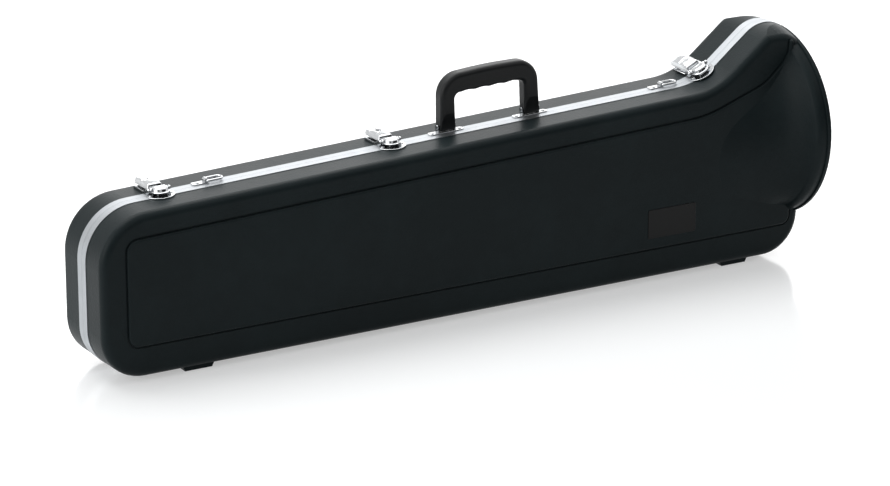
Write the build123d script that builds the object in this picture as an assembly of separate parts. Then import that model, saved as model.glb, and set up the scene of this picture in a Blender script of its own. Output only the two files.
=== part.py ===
from build123d import *
import os
from math import asin, cos, degrees, radians, sin, sqrt, tan

# A hard trombone case standing on its hinge side. X runs from the tail to the bell end, -Y is the
# lid side and +Z is up. The seam between lid and body is the plane y = 0, and the feet stand on
# z = 0. Every size is in millimetres.

# Shell outline, seen from the lid side
CASE_LENGTH = 914.0
TAIL_TOP = 189.4
TOP_SLOPE = 2.14
FOOT_HEIGHT = 5.0
NECK_SLOPE = 38.4
CROWN_SETBACK = 31.9
CROWN_RISE = 15.65
CROWN_SLOPE = 32.0
TAIL_FOOT_RADIUS = 50.0
TAIL_TOP_RADIUS = 60.0
NECK_RADIUS = 94.0
CROWN_RADIUS = 42.0
CROWN_END_RADIUS = 13.0
BELL_FOOT_RADIUS = 48.0

# Shell section
SHELL_DEPTH = 50.0
WALL = 3.0
EDGE_RADIUS = 9.0

# Bell bulge: a rim disc about the bell axis, and a flare that grows out of the panel
BELL_AXIS_Z = 159.0
RIM_RADIUS = 115.0
RIM_WIDTH = 20.0
RIM_SETBACK = 2.0
RIM_STEP = 2.0
RIM_SHOULDER = 9.0
RIM_BEAD = 6.0
RIM_BEAD_RADIUS = 3.0
DRUM_MARGIN = 9.0
FLARE_LENGTH = 140.0
FLARE_MEETING = 20.0
FLARE_ROOT_SINK = 4.0
FLARE_START_SINK = 1.0

# Outline of the flare where it leaves the face: how far along it is, then its foot and head as shares
# of the rim's half height
FLARE_OUTLINE = (
    (0.0, -0.81, 0.27),
    (0.34, -0.972, 0.395),
    (0.6, -1.001, 0.52),
    (0.76, -1.011, 0.626),
    (0.88, -1.006, 0.77),
    (0.95, -0.992, 0.895),
    (1.0, -1.0, 1.0),
)

# Raised panel on each large face
PANEL_TAIL_INSET = 30.0
PANEL_FOOT_INSET = 37.0
PANEL_TOP_INSET = 27.5
PANEL_END_INSET = 16.0
PANEL_HEIGHT = 2.5
PANEL_EDGE = 2.2
PANEL_GROOVE = 2.4
PANEL_GROOVE_DEPTH = 1.3

# Feet moulded into the shells
FOOT_LENGTH = 40.0
FOOT_WIDTH = 29.0
FOOT_EDGE = 14.0
FOOT_DRAFT = 3.5
TAIL_FOOT_SETBACK = 117.0
BELL_FOOT_SETBACK = 88.0

# Aluminium valance round the seam
VALANCE_WIDTH = 9.9
VALANCE_PROUD = 0.5
VALANCE_SKIN = 1.5
VALANCE_INNER = 1.2
VALANCE_WEB = 5.0
SEAM_GAP = 0.15
SHELL_GAP = 0.4
SLOT_FIT = 0.2
TONGUE_HEIGHT = 1.2
TONGUE_WIDTH = 1.0
TONGUE_FIT = 0.35

# Splices that part each valance in two, past the end of the bell strap ring and under the bell hinge
SPLICE_GAP = 0.1
SPLICE_ROOM = 2.4

# Foam liners covered in plush
LINER_FIT = 0.3
LINER_SEAM = 1.0
BELL_SECTION = 607.0
BELL_TUBE_RADIUS = 12.0
BELL_MOUTH_ROOM = 4.0
BOW_SPREAD = 66.0
BOW_LENGTH = 165.0
SLIDE_GROOVE = 22.0
SLIDE_SPREAD = 88.0
SLIDE_RISE = 77.0
SLIDE_TAIL_ROOM = 25.0
SLIDE_BELL_ROOM = 89.0
SLIDE_FLOOR = 10.0
WELL_SETBACK = 402.0
WELL_LENGTH = 150.0
WELL_HEIGHT = 84.0
WELL_RISE = 21.0
WELL_FLOOR = 7.0
MOUTHPIECE_SETBACK = 222.0
MOUTHPIECE_PITCH = 37.8
MOUTHPIECE_RADIUS = 13.5

# Profile of the room for the bell: how far back from its mouth, and its share of the mouth's radius
BELL_PROFILE = ((0.0, 1.0), (20.0, 1.0), (32.0, 0.68), (52.0, 0.46), (86.0, 0.3), (150.0, 0.19))
BELL_TAPER = 230.0

# Piano-style hinges on the underside
TAIL_HINGE_SETBACK = 182.0
MIDDLE_HINGE_X = 20.0
BELL_HINGE_SETBACK = 152.0
HINGE_LENGTH = 50.0
HINGE_DROP = 2.4
KNUCKLE_RADIUS = 1.9
HINGE_PIN_RADIUS = 0.9
LEAF_THICKNESS = 0.8
LEAF_MARGIN = 0.7
LEAF_NOTCH = 2.4
KNUCKLE_GAP = 0.3
RUNNING_FIT = 0.05

# Draw latches, in a seat frame: x along the seam, y towards the rear, z out of the wall
SEAT_FIT = 0.05
TAIL_LATCH_SETBACK = 94.0
MIDDLE_LATCH_X = -74.0
NECK_LATCH_STEP = 8.0
LATCH_NAMES = ("tail", "middle", "bell")
LOCKING_LATCH = 1
BASE_WIDTH = 26.0
BASE_FRONT = 1.6
BASE_REAR = 38.0
PLATE = 1.2
EAR_THICKNESS = 1.3
EAR_RADIUS = 4.0
RAIL_HEIGHT = 2.6
PIVOT_Y = -0.5
PIVOT_Z = 5.4
PIVOT_PIN_RADIUS = 1.3
LEVER_WIDTH = 22.0
LEVER_REAR = 47.0
LEVER_SHEET = 1.2
ARM_RADIUS = 3.8
CROWN_FRONT = 9.6
CROWN_REAR = 43.0
CROWN_WIDTH = 17.0
CROWN_HEIGHT = 4.2
CROWN_DRAFT = 22.0
CROWN_GROOVES = (19.5, 31.0)
GROOVE_WIDTH = 1.2
GROOVE_DEPTH = 0.5
LINK_WIDTH = 12.6
LINK_FIT = 0.3
LINK_PIN_Y = 5.5
LINK_PIN_Z = 4.8
LINK_PIN_RADIUS = 1.0
LINK_KNUCKLE_RADIUS = 2.2
LINK_TOP = 7.4
LINK_FRONT = -11.2
HOOK_THICKNESS = 1.6
HOOK_BOTTOM = 1.6
KEEPER_WIDTH = 33.0
KEEPER_BACK = -2.6
KEEPER_FRONT = -20.0
LIP_Y = -8.2
LIP_THICKNESS = 1.2
LIP_WIDTH = 13.0
LIP_TOP = 3.5
LOCK_Y = 25.2
LOCK_RADIUS = 3.4
KEYWAY_WIDTH = 1.1
KEYWAY_LENGTH = 4.2

# Carrying handle
HANDLE_X = 57.5
HANDLE_Y = 5.0
HANDLE_WIDTH = 131.0
HANDLE_HEIGHT = 70.0
LEG_WIDTH = 19.5
GRIP_DEPTH = 19.0
GRIP_UNDERSIDE = 45.0
GRIP_CORNER = 27.0
GRIP_ARCH = 2.5
GRIP_CREST = 600.0
GRIP_INNER_CORNER = 7.0
GRIP_ROUND = 5.5
LEG_LEAN = 2.0
FINGERS = 4
FINGER_DEPTH = 2.2
HANDLE_PIN_Z = 7.4
HANDLE_PIN_RADIUS = 1.5
LEG_END_RADIUS = 5.9
MOUNT_LENGTH = 45.0
MOUNT_WIDTH = 9.3
LOOP_THICKNESS = 1.4
LOOP_RADIUS = 3.3
SIDE_FIT = 0.35

# Strap rings
TAIL_STRAP_SETBACK = 154.0
NECK_STRAP_STEP = 43.0
STRAP_NAMES = ("tail", "bell")
STRAP_PLATE_LENGTH = 17.0
RING_WIRE = 1.4
RING_WIDTH = 13.4
RING_REACH = 19.5
RING_AXIS_Z = 3.0
STRAP_KNUCKLE_LENGTH = 7.4
STRAP_KNUCKLE_WALL = 1.2

# Badge plate on the lid, bare
BADGE_SETBACK = 183.5
BADGE_RISE = 67.5
BADGE_LENGTH = 66.0
BADGE_HEIGHT = 35.0
BADGE_THICKNESS = 1.2
BADGE_RECESS = 0.5
BADGE_FIT = 0.2

# Rivets
RIVET_RADIUS = 1.2
RIVET_HEAD_RADIUS = 2.1
RIVET_HEAD = 0.8

# Places and sizes that follow from those above
BODY = Plane.XZ
TAIL_X = -CASE_LENGTH / 2
BELL_X = CASE_LENGTH / 2
TOP_RISE = tan(radians(TOP_SLOPE))
NECK_RISE = tan(radians(NECK_SLOPE))
CROWN_X = BELL_X - CROWN_SETBACK
CROWN_Z = BELL_AXIS_Z + RIM_RADIUS + CROWN_RISE
NECK_X = (TAIL_TOP - TAIL_X * TOP_RISE + CROWN_X * NECK_RISE - CROWN_Z) / (NECK_RISE - TOP_RISE)
DRUM_RADIUS = RIM_RADIUS + DRUM_MARGIN
RIM_START = BELL_X - RIM_SETBACK - RIM_WIDTH
FLARE_END = RIM_START + RIM_SHOULDER * (1 - cos(radians(FLARE_MEETING)))
FLARE_DEPTH = RIM_RADIUS - RIM_STEP - RIM_SHOULDER * (1 - sin(radians(FLARE_MEETING)))
BELL_MOUTH_RADIUS = RIM_RADIUS - WALL - BELL_MOUTH_ROOM
HINGE_AXIS_Z = FOOT_HEIGHT - VALANCE_PROUD - HINGE_DROP
LEAF_WIDTH = VALANCE_WIDTH - LEAF_MARGIN
FOOT_XS = (TAIL_X + TAIL_FOOT_SETBACK, BELL_X - BELL_FOOT_SETBACK)
HINGE_XS = (TAIL_X + TAIL_HINGE_SETBACK, MIDDLE_HINGE_X, BELL_X - BELL_HINGE_SETBACK)
LATCH_XS = (TAIL_X + TAIL_LATCH_SETBACK, MIDDLE_LATCH_X, NECK_X + NECK_LATCH_STEP)
STRAP_XS = (TAIL_X + TAIL_STRAP_SETBACK, NECK_X - NECK_STRAP_STEP)
SPLICE_X = STRAP_XS[-1] + RING_REACH + RING_WIRE + SPLICE_ROOM


def side_plane(x):
    """The plane across the case at x, with Y and Z as its own axes."""
    return Plane(origin=(x, 0, 0), x_dir=(0, 1, 0), z_dir=(1, 0, 0))


def straight_top(x):
    """Height of the straight top wall at x."""
    return TAIL_TOP + (x - TAIL_X) * TOP_RISE


def outline_corners():
    """The six corners of the case outline before rounding, with their radii (hollow ones negative)."""
    neck = (NECK_X, straight_top(NECK_X))
    crown = (CROWN_X, CROWN_Z)
    crown_end = (BELL_X, CROWN_Z - CROWN_SETBACK * tan(radians(CROWN_SLOPE)))
    return [
        ((TAIL_X, FOOT_HEIGHT), TAIL_FOOT_RADIUS),
        ((BELL_X, FOOT_HEIGHT), BELL_FOOT_RADIUS),
        (crown_end, CROWN_END_RADIUS),
        (crown, CROWN_RADIUS),
        (neck, -NECK_RADIUS),
        ((TAIL_X, TAIL_TOP), TAIL_TOP_RADIUS),
    ]


def inset_corner(before, corner, after, inset):
    """The corner of an anticlockwise outline after both its sides move inwards by inset."""
    a = Vector(*corner) - Vector(*before)
    b = Vector(*after) - Vector(*corner)
    a = a / a.length
    b = b / b.length
    spread = 1 + a.X * b.X + a.Y * b.Y
    shift = Vector(-a.Y - b.Y, a.X + b.X) * (inset / spread)
    return corner[0] + shift.X, corner[1] + shift.Y


def rounded_face(corners, inset, least=0.6):
    """A face on the XZ plane from corners with radii, all moved inwards by inset."""
    points = []
    radii = []
    count = len(corners)
    for i, (corner, radius) in enumerate(corners):
        before = corners[i - 1][0]
        after = corners[(i + 1) % count][0]
        points.append(inset_corner(before, corner, after, inset))
        size = radius - inset if radius > 0 else inset - radius
        radii.append(max(size, least))
    wire = FilletPolyline(*points, radius=radii, close=True)
    return BODY * make_face(wire)


def outline(inset):
    """The case outline on the seam plane, inset evenly."""
    return rounded_face(outline_corners(), inset)


def slab(face, start, end):
    """A face on the XZ plane made solid between two depths on the lid side."""
    return Pos(0, -start, 0) * extrude(face, end - start)


def ring(outer, inner, start, end):
    """A band that follows the outline, between two insets and two depths."""
    return slab(outline(outer), start, end) - slab(outline(inner), start - 1, end + 1)


def box_between(low, high):
    """A box between two opposite corners."""
    size = [high[i] - low[i] for i in range(3)]
    centre = [(high[i] + low[i]) / 2 for i in range(3)]
    return Pos(*centre) * Box(*size)


def turned(points, radii=None):
    """A solid of revolution about the bell axis from (x, radius) points."""
    lifted = [(x, BELL_AXIS_Z + r) for x, r in points]
    wire = Polyline(*lifted, close=True) if radii is None else FilletPolyline(*lifted, radius=radii, close=True)
    axis = Axis((0, 0, BELL_AXIS_Z), (1, 0, 0))
    return revolve(BODY * make_face(wire), axis, 360)


def crown_drum(inset):
    """The round drum that trims the top corners of the tray beside the bell, with a rounded shoulder."""
    start = CROWN_X - 60
    end_height = outline_corners()[2][0][1] - BELL_AXIS_Z
    fall = tan(radians(CROWN_SLOPE))
    shoulder = BELL_X - (DRUM_RADIUS - end_height) / fall
    corners = [(start, 0), (BELL_X, 0), (BELL_X, end_height), (shoulder, DRUM_RADIUS), (start, DRUM_RADIUS)]
    points = []
    for i, corner in enumerate(corners):
        points.append(inset_corner(corners[i - 1], corner, corners[(i + 1) % len(corners)], inset))
    points[0] = (start, 0)
    points[1] = (BELL_X - inset, 0)
    return turned(points, [0, 0, CROWN_END_RADIUS - inset, CROWN_RADIUS - inset, 0])


def crown_block(inset, depth):
    """The drum as far as the large face, with the edge between them rounded."""
    block = crown_drum(inset) & box_between((CROWN_X - 60, -depth, BELL_AXIS_Z), (BELL_X + 10, 0, BELL_AXIS_Z + 200))
    face = block.faces().filter_by(Axis.Y).sort_by(Axis.Y)[0]
    edges = [e for e in face.edges() if e.center().Z > BELL_AXIS_Z + 30 and e.center().X > CROWN_X - 55]
    return fillet(edges, EDGE_RADIUS - inset)


def tray(inset, depth):
    """One half of the plain case body, from the seam to its large face, with rounded edges."""
    block = slab(outline(inset), 0, depth)
    block = fillet(block.faces().sort_by(Axis.Y)[0].edges(), EDGE_RADIUS - inset)
    reach = SHELL_DEPTH * 2
    corner = box_between((CROWN_X - 60, -reach, BELL_AXIS_Z + 60), (BELL_X + 10, reach, BELL_AXIS_Z + 200))
    return block - (corner - crown_block(inset, depth))


def panel_corners():
    """Corners of the raised panel; its top right follows the neck up to the bell."""
    left = TAIL_X + PANEL_TAIL_INSET
    right = BELL_X - PANEL_END_INSET
    bottom = FOOT_HEIGHT + PANEL_FOOT_INSET
    bend = NECK_X - 14
    rim_top = BELL_AXIS_Z + RIM_RADIUS
    return [
        ((left, bottom), 12),
        ((right, bottom), 10),
        ((right, rim_top - 7), 2.2),
        ((right - 5, rim_top - 7), 2.2),
        ((right - 7, rim_top - 27), -25),
        ((right - 38, rim_top - 55), -60),
        ((bend, straight_top(bend) - PANEL_TOP_INSET), -150),
        ((left, straight_top(left) - PANEL_TOP_INSET), 14),
    ]


def pocket_corners():
    """Corners of the hollow behind the panel, which stops where the flare begins."""
    left = TAIL_X + PANEL_TAIL_INSET
    right = FLARE_END - FLARE_LENGTH
    bottom = FOOT_HEIGHT + PANEL_FOOT_INSET
    return [
        ((left, bottom), 12),
        ((right, bottom), 12),
        ((right, straight_top(right) - PANEL_TOP_INSET), 12),
        ((left, straight_top(left) - PANEL_TOP_INSET), 14),
    ]


def flare_stations():
    """Sections of the flare: x, foot and head where it leaves the face, and its depth.

    The depth follows a bell curve: slow at first, then steep towards the rim.
    """
    half = sqrt(FLARE_DEPTH**2 - (SHELL_DEPTH - FLARE_ROOT_SINK) ** 2)
    start_depth = SHELL_DEPTH - FLARE_START_SINK
    stations = []
    for along, foot, head in FLARE_OUTLINE:
        grow = 0.42 * along**1.6 + 0.58 * along**9
        depth = start_depth + (FLARE_DEPTH - start_depth) * grow
        x = FLARE_END - FLARE_LENGTH * (1 - along)
        stations.append((x, BELL_AXIS_Z + foot * half, BELL_AXIS_Z + head * half, depth))
    return stations


def flare(inset):
    """The moulded bell flare on the lid side, as a smooth loft of bow-shaped sections."""
    root = -(SHELL_DEPTH - FLARE_ROOT_SINK - inset)
    sections = []
    for x, foot, head, depth in flare_stations():
        low = (root, foot + inset)
        high = (root, head - inset)
        middle = (-(depth - inset), (foot + head) / 2)
        bow = ThreePointArc(low, middle, high) + Line(high, low)
        sections.append(side_plane(x) * make_face(bow))
    bulge = loft(sections)
    if inset:
        bulge += extrude(sections[-1], inset)
    return bulge


def rim_disc(inset):
    """The round end of the bell bulge, whole about the bell axis; the flare runs into its shoulder."""
    start = RIM_START + inset
    end = BELL_X - RIM_SETBACK - inset
    radius = RIM_RADIUS - RIM_STEP - inset
    points = [(start, 0), (end, 0), (end, radius), (start, radius)]
    return turned(points, [0, 0, max(RIM_BEAD_RADIUS - inset, 0.5), RIM_SHOULDER - inset])


def rim_bead():
    """The raised bead round the very end of the rim."""
    end = BELL_X - RIM_SETBACK
    root = RIM_RADIUS - RIM_STEP - WALL / 2
    points = [(end - RIM_BEAD, root), (end, root), (end, RIM_RADIUS), (end - RIM_BEAD, RIM_RADIUS)]
    return turned(points, [0, 0, RIM_BEAD_RADIUS, RIM_STEP / 2])


def lid_half(solid):
    """Keep what lies on the lid side of the seam."""
    reach = RIM_RADIUS + SHELL_DEPTH
    return solid & box_between((TAIL_X - 50, -reach, -50), (BELL_X + 50, 0, 400))


def foot(x):
    """One moulded foot with sloped ends, on the lid side."""
    top = FOOT_HEIGHT + WALL / 2
    half = FOOT_LENGTH / 2
    wire = Polyline((x - half, top), (x - half + FOOT_DRAFT, 0), (x + half - FOOT_DRAFT, 0), (x + half, top),
                    close=True)
    block = slab(BODY * make_face(wire), FOOT_EDGE, FOOT_EDGE + FOOT_WIDTH)
    return fillet(block.faces().sort_by(Axis.Y)[0].edges().filter_by(Axis.Z, reverse=True), 1.0)


def moulded_shell():
    """One moulded half of the case on the lid side: tray, panel, flare, rim and feet, hollowed."""
    panel = slab(rounded_face(panel_corners(), 0), SHELL_DEPTH - WALL, SHELL_DEPTH + PANEL_HEIGHT)
    panel = fillet(panel.faces().sort_by(Axis.Y)[0].edges(), PANEL_EDGE)
    groove = slab(rounded_face(panel_corners(), -PANEL_GROOVE), SHELL_DEPTH - PANEL_GROOVE_DEPTH, SHELL_DEPTH + 1)
    outside = tray(0, SHELL_DEPTH) - groove + panel + flare(0) + lid_half(rim_disc(0) + rim_bead())
    pocket = slab(rounded_face(pocket_corners(), WALL), SHELL_DEPTH - WALL - 1, SHELL_DEPTH + PANEL_HEIGHT - WALL)
    inside = tray(WALL, SHELL_DEPTH - WALL) + pocket + flare(WALL) + lid_half(rim_disc(WALL))
    shell = outside - inside
    for x in FOOT_XS:
        shell += foot(x)
    seam = VALANCE_WIDTH + SHELL_GAP
    shell -= box_between((TAIL_X - 10, -seam, -10), (BELL_X + 10, 10, 400))
    lip = ring(VALANCE_SKIN - VALANCE_PROUD + SLOT_FIT, WALL, VALANCE_WEB + SLOT_FIT, seam + 1)
    return shell + lip


def valance():
    """The lid half of the aluminium valance: a slotted band that grips the shell's lip."""
    inner = WALL + SLOT_FIT + VALANCE_INNER
    band = ring(-VALANCE_PROUD, inner, SEAM_GAP, VALANCE_WIDTH)
    slot = ring(VALANCE_SKIN - VALANCE_PROUD, WALL + SLOT_FIT, VALANCE_WEB, VALANCE_WIDTH + 1)
    return band - slot


def tongue(fit):
    """The locating tongue on the lid's valance, or its groove when fit is added."""
    start = VALANCE_SKIN - VALANCE_PROUD + 0.7 - fit
    height = TONGUE_HEIGHT + (0.5 if fit else 0)
    return ring(start, start + TONGUE_WIDTH + 2 * fit, -height, 1)


def bell_side(gap):
    """The room of a valance's bell-end piece, from this gap past the splices."""
    reach = 3 * SHELL_DEPTH
    above = seat(SPLICE_X) * box_between((gap, -reach, -reach), (CASE_LENGTH, reach, CASE_LENGTH))
    below = box_between((HINGE_XS[-1] + gap, -reach, -reach), (2 * BELL_X, reach, BELL_AXIS_Z))
    return above + below


def rear(solid):
    """The same solid on the rear side of the seam."""
    return mirror(solid, Plane.XZ)


def seat(x, width=0.0):
    """Frame on the top of the valance at x: its x runs along the seam and its z out of the wall.

    Over the hollow neck, a flat piece of this width rests on its two ends.
    """
    start = neck_start()
    if x <= start:
        return Pos(x, 0, straight_top(x)) * Rot(0, -TOP_SLOPE, 0) * Pos(0, 0, VALANCE_PROUD)
    centre_x = start - NECK_RADIUS * sin(radians(TOP_SLOPE))
    centre_z = straight_top(start) + NECK_RADIUS * cos(radians(TOP_SLOPE))
    tilt = asin((x - centre_x) / NECK_RADIUS)
    fall = NECK_RADIUS - VALANCE_PROUD - stand_off(x, width)
    return Pos(centre_x, 0, centre_z) * Rot(0, -degrees(tilt), 0) * Pos(0, 0, -fall)


def neck_start():
    """The x where the straight top turns into the hollow neck."""
    run = NECK_RADIUS * tan(radians(NECK_SLOPE - TOP_SLOPE) / 2)
    return NECK_X - run * cos(radians(TOP_SLOPE))


def stand_off(x, width):
    """How far the middle of a flat piece of this width stands off the valance at x."""
    if x <= neck_start():
        return 0.0
    hollow = NECK_RADIUS - VALANCE_PROUD
    return hollow - sqrt(hollow**2 - (width / 2) ** 2) + SEAT_FIT


def latch_seat(x):
    """Frame shared by all the pieces of one latch, set by the keeper, its widest piece."""
    return seat(x, KEEPER_WIDTH)


def rod(radius, start, end, y, z):
    """A rod along x in the seat frame."""
    return Pos((start + end) / 2, y, z) * Rot(0, 90, 0) * Cylinder(radius, end - start)


def plan_slab(face, bottom, top):
    """A face on the seat plane made solid between two heights."""
    return Pos(0, 0, bottom) * extrude(face, top - bottom)


def section_slab(wire, start, end):
    """A closed (y, z) wire made solid along x between two places."""
    return extrude(side_plane(start) * make_face(wire), end - start)


def rivet(x, y, top, grip):
    """A domed rivet standing on a plate, with its shank down through grip."""
    head = Pos(x, y, top + RIVET_HEAD / 2) * Cylinder(RIVET_HEAD_RADIUS, RIVET_HEAD)
    head = fillet(head.edges().group_by(Axis.Z)[-1], RIVET_HEAD * 0.6)
    return head + Pos(x, y, top - grip / 2) * Cylinder(RIVET_RADIUS, grip)


def rivet_hole(x, y, top, grip):
    """Clearance for a rivet shank."""
    return Pos(x, y, top - grip / 2) * Cylinder(RIVET_RADIUS + RUNNING_FIT, grip)


def latch_base(skirt):
    """Base plate with two ears that stand over the seam, and side rails that reach down by skirt."""
    half = BASE_WIDTH / 2
    length = BASE_REAR - BASE_FRONT
    plan = Pos(0, BASE_FRONT + length / 2) * RectangleRounded(BASE_WIDTH, length, 2.5)
    plate = plan_slab(plan, 0, PLATE)
    for side in (-1, 1):
        edge = side * (half - EAR_THICKNESS / 2)
        rail = box_between((edge - EAR_THICKNESS / 2, BASE_FRONT + 2.5, -skirt),
                           (edge + EAR_THICKNESS / 2, BASE_REAR - 2.5, RAIL_HEIGHT))
        plate += fillet(rail.edges().filter_by(Axis.X).group_by(Axis.Z)[-1], 1.2)
        web = Polyline((BASE_FRONT + 10, PLATE / 2), (BASE_FRONT + 10, RAIL_HEIGHT),
                       (PIVOT_Y + EAR_RADIUS * 0.7, PIVOT_Z + EAR_RADIUS * 0.7), (PIVOT_Y, PIVOT_Z),
                       (PIVOT_Y - EAR_RADIUS * 0.7, PIVOT_Z - EAR_RADIUS * 0.7), (BASE_FRONT, PLATE / 2), close=True)
        ear = section_slab(web, edge - EAR_THICKNESS / 2, edge + EAR_THICKNESS / 2)
        ear += rod(EAR_RADIUS, edge - EAR_THICKNESS / 2, edge + EAR_THICKNESS / 2, PIVOT_Y, PIVOT_Z)
        plate += ear
    plate -= rod(PIVOT_PIN_RADIUS + RUNNING_FIT, -half - 1, half + 1, PIVOT_Y, PIVOT_Z)
    for x, y in base_rivets():
        plate -= rivet_hole(x, y, PLATE + 1, PLATE + 2)
    return plate


def base_rivets():
    """Rivets of a latch base, through the valance and through the shell."""
    across = BASE_WIDTH / 2 - EAR_THICKNESS - RIVET_HEAD_RADIUS - 0.8
    return [(side * across, y) for side in (-1, 1) for y in (VALANCE_WIDTH / 2 + 0.6, BASE_REAR - 5)]


def pivot_pins():
    """Two stub pins through the ears into the lever's arms."""
    half = BASE_WIDTH / 2
    pins = []
    for side in (-1, 1):
        start = side * (LINK_WIDTH / 2 + LINK_FIT + 0.1)
        end = side * (half + 0.9)
        head = side * half
        shank = rod(PIVOT_PIN_RADIUS, min(start, end), max(start, end), PIVOT_Y, PIVOT_Z)
        cap = rod(PIVOT_PIN_RADIUS + 0.9, min(head, end), max(head, end), PIVOT_Y, PIVOT_Z)
        pins.append(shank + cap)
    return pins


def lever_plan():
    """Plan of the lever's flange, wide at the pivot and rounded at the finger end."""
    half = LEVER_WIDTH / 2
    front = PIVOT_Y
    turn = LEVER_REAR - half * 0.62
    side_left = Line((-half, front), (-half + 1.2, turn))
    tip = ThreePointArc((-half + 1.2, turn), (0, LEVER_REAR), (half - 1.2, turn))
    side_right = Line((half - 1.2, turn), (half, front))
    return make_face(side_left + tip + side_right + Line((half, front), (-half, front)))


def latch_lever(locking):
    """Stamped lever: flange, raised crown with two cross grooves, and two arms to the pivot."""
    bottom = PIVOT_Z - LEVER_SHEET
    lever = plan_slab(lever_plan(), bottom, PIVOT_Z)
    length = CROWN_REAR - CROWN_FRONT
    plan = Pos(0, CROWN_FRONT + length / 2) * RectangleRounded(CROWN_WIDTH, length, 4.5)
    crown = Pos(0, 0, PIVOT_Z - 0.1) * extrude(plan, CROWN_HEIGHT + 0.1, taper=CROWN_DRAFT)
    crown = fillet(crown.faces().sort_by(Axis.Z)[-1].edges(), 0.8)
    inner = Pos(0, CROWN_FRONT + length / 2) * RectangleRounded(CROWN_WIDTH - 3, length - 3, 3)
    hollow = Pos(0, 0, bottom - 0.5) * extrude(inner, CROWN_HEIGHT + 0.5, taper=CROWN_DRAFT * 0.7)
    lever = lever + crown - hollow
    top = PIVOT_Z + CROWN_HEIGHT
    for y in CROWN_GROOVES:
        lever -= box_between((-LEVER_WIDTH, y - GROOVE_WIDTH / 2, top - GROOVE_DEPTH),
                             (LEVER_WIDTH, y + GROOVE_WIDTH / 2, top + 1))
    slot = LINK_WIDTH / 2 + LINK_FIT
    for side in (-1, 1):
        start = side * slot
        end = side * LEVER_WIDTH / 2
        lever += rod(ARM_RADIUS, min(start, end), max(start, end), PIVOT_Y, PIVOT_Z)
        web = Polyline((PIVOT_Y, PIVOT_Z - ARM_RADIUS), (CROWN_FRONT - 1, PIVOT_Z - LEVER_SHEET - 1.4),
                       (CROWN_FRONT + 4, PIVOT_Z - LEVER_SHEET / 2), (CROWN_FRONT - 1, PIVOT_Z),
                       (PIVOT_Y, PIVOT_Z + ARM_RADIUS), close=True)
        lever += section_slab(web, min(start, end), max(start, end))
    lever -= box_between((-slot, PIVOT_Y - ARM_RADIUS - 1, 0), (slot, CROWN_FRONT - 0.3, top))
    lever -= rod(PIVOT_PIN_RADIUS + RUNNING_FIT, -LEVER_WIDTH, LEVER_WIDTH, PIVOT_Y, PIVOT_Z)
    lever -= rod(LINK_PIN_RADIUS + RUNNING_FIT, -LEVER_WIDTH, LEVER_WIDTH, LINK_PIN_Y, LINK_PIN_Z)
    if locking:
        lever += Pos(0, LOCK_Y, PIVOT_Z + CROWN_HEIGHT / 2) * Cylinder(LOCK_RADIUS + 1.2, CROWN_HEIGHT)
        lever -= Pos(0, LOCK_Y, PIVOT_Z) * Cylinder(LOCK_RADIUS + RUNNING_FIT, 4 * CROWN_HEIGHT)
    return lever


def link_pin():
    """Pin that carries the claw between the lever's arms."""
    half = LEVER_WIDTH / 2 - 0.6
    return rod(LINK_PIN_RADIUS, -half, half, LINK_PIN_Y, LINK_PIN_Z)


def latch_claw():
    """Claw that hangs on the lever and hooks over the keeper's lip."""
    half = LINK_WIDTH / 2
    inner_top = LIP_TOP + 0.4
    throat = LINK_FRONT + HOOK_THICKNESS
    profile = Polyline(
        (LINK_PIN_Y, LINK_TOP), (PIVOT_Y - 3.5, LINK_TOP), (LINK_FRONT + 1.4, LINK_TOP - 2.2),
        (LINK_FRONT, LINK_TOP - 3.4), (LINK_FRONT, HOOK_BOTTOM), (throat, HOOK_BOTTOM), (throat, inner_top),
        (PIVOT_Y - 3, inner_top), (PIVOT_Y + 2, LINK_PIN_Z - LINK_KNUCKLE_RADIUS),
        (LINK_PIN_Y, LINK_PIN_Z - LINK_KNUCKLE_RADIUS), close=True)
    claw = section_slab(profile, -half, half)
    claw += rod(LINK_KNUCKLE_RADIUS, -half, half, LINK_PIN_Y, LINK_PIN_Z)
    return claw - rod(LINK_PIN_RADIUS + RUNNING_FIT, -half - 1, half + 1, LINK_PIN_Y, LINK_PIN_Z)


def keeper():
    """D-shaped keeper plate on the lid with a raised lip for the claw."""
    half = KEEPER_WIDTH / 2
    shoulder = KEEPER_BACK - 5
    outline_wire = (Line((half, KEEPER_BACK), (-half, KEEPER_BACK)) + Line((-half, KEEPER_BACK), (-half, shoulder))
                    + ThreePointArc((-half, shoulder), (0, KEEPER_FRONT), (half, shoulder))
                    + Line((half, shoulder), (half, KEEPER_BACK)))
    plate = plan_slab(make_face(outline_wire), 0, PLATE)
    plate = fillet(plate.edges().filter_by(GeomType.CIRCLE).group_by(Axis.Z)[-1], 0.5)
    lip = box_between((-LIP_WIDTH / 2, LIP_Y - LIP_THICKNESS / 2, PLATE / 2),
                      (LIP_WIDTH / 2, LIP_Y + LIP_THICKNESS / 2, LIP_TOP))
    plate += fillet(lip.edges().filter_by(Axis.X).group_by(Axis.Z)[-1], 0.4)
    for x, y in keeper_rivets():
        plate -= rivet_hole(x, y, PLATE + 1, PLATE + 2)
    return plate


def keeper_rivets():
    """Rivets of a keeper, either side of the claw."""
    return [(side * (KEEPER_WIDTH / 2 - 4.2), -VALANCE_WIDTH / 2 - 0.6) for side in (-1, 1)]


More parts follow.
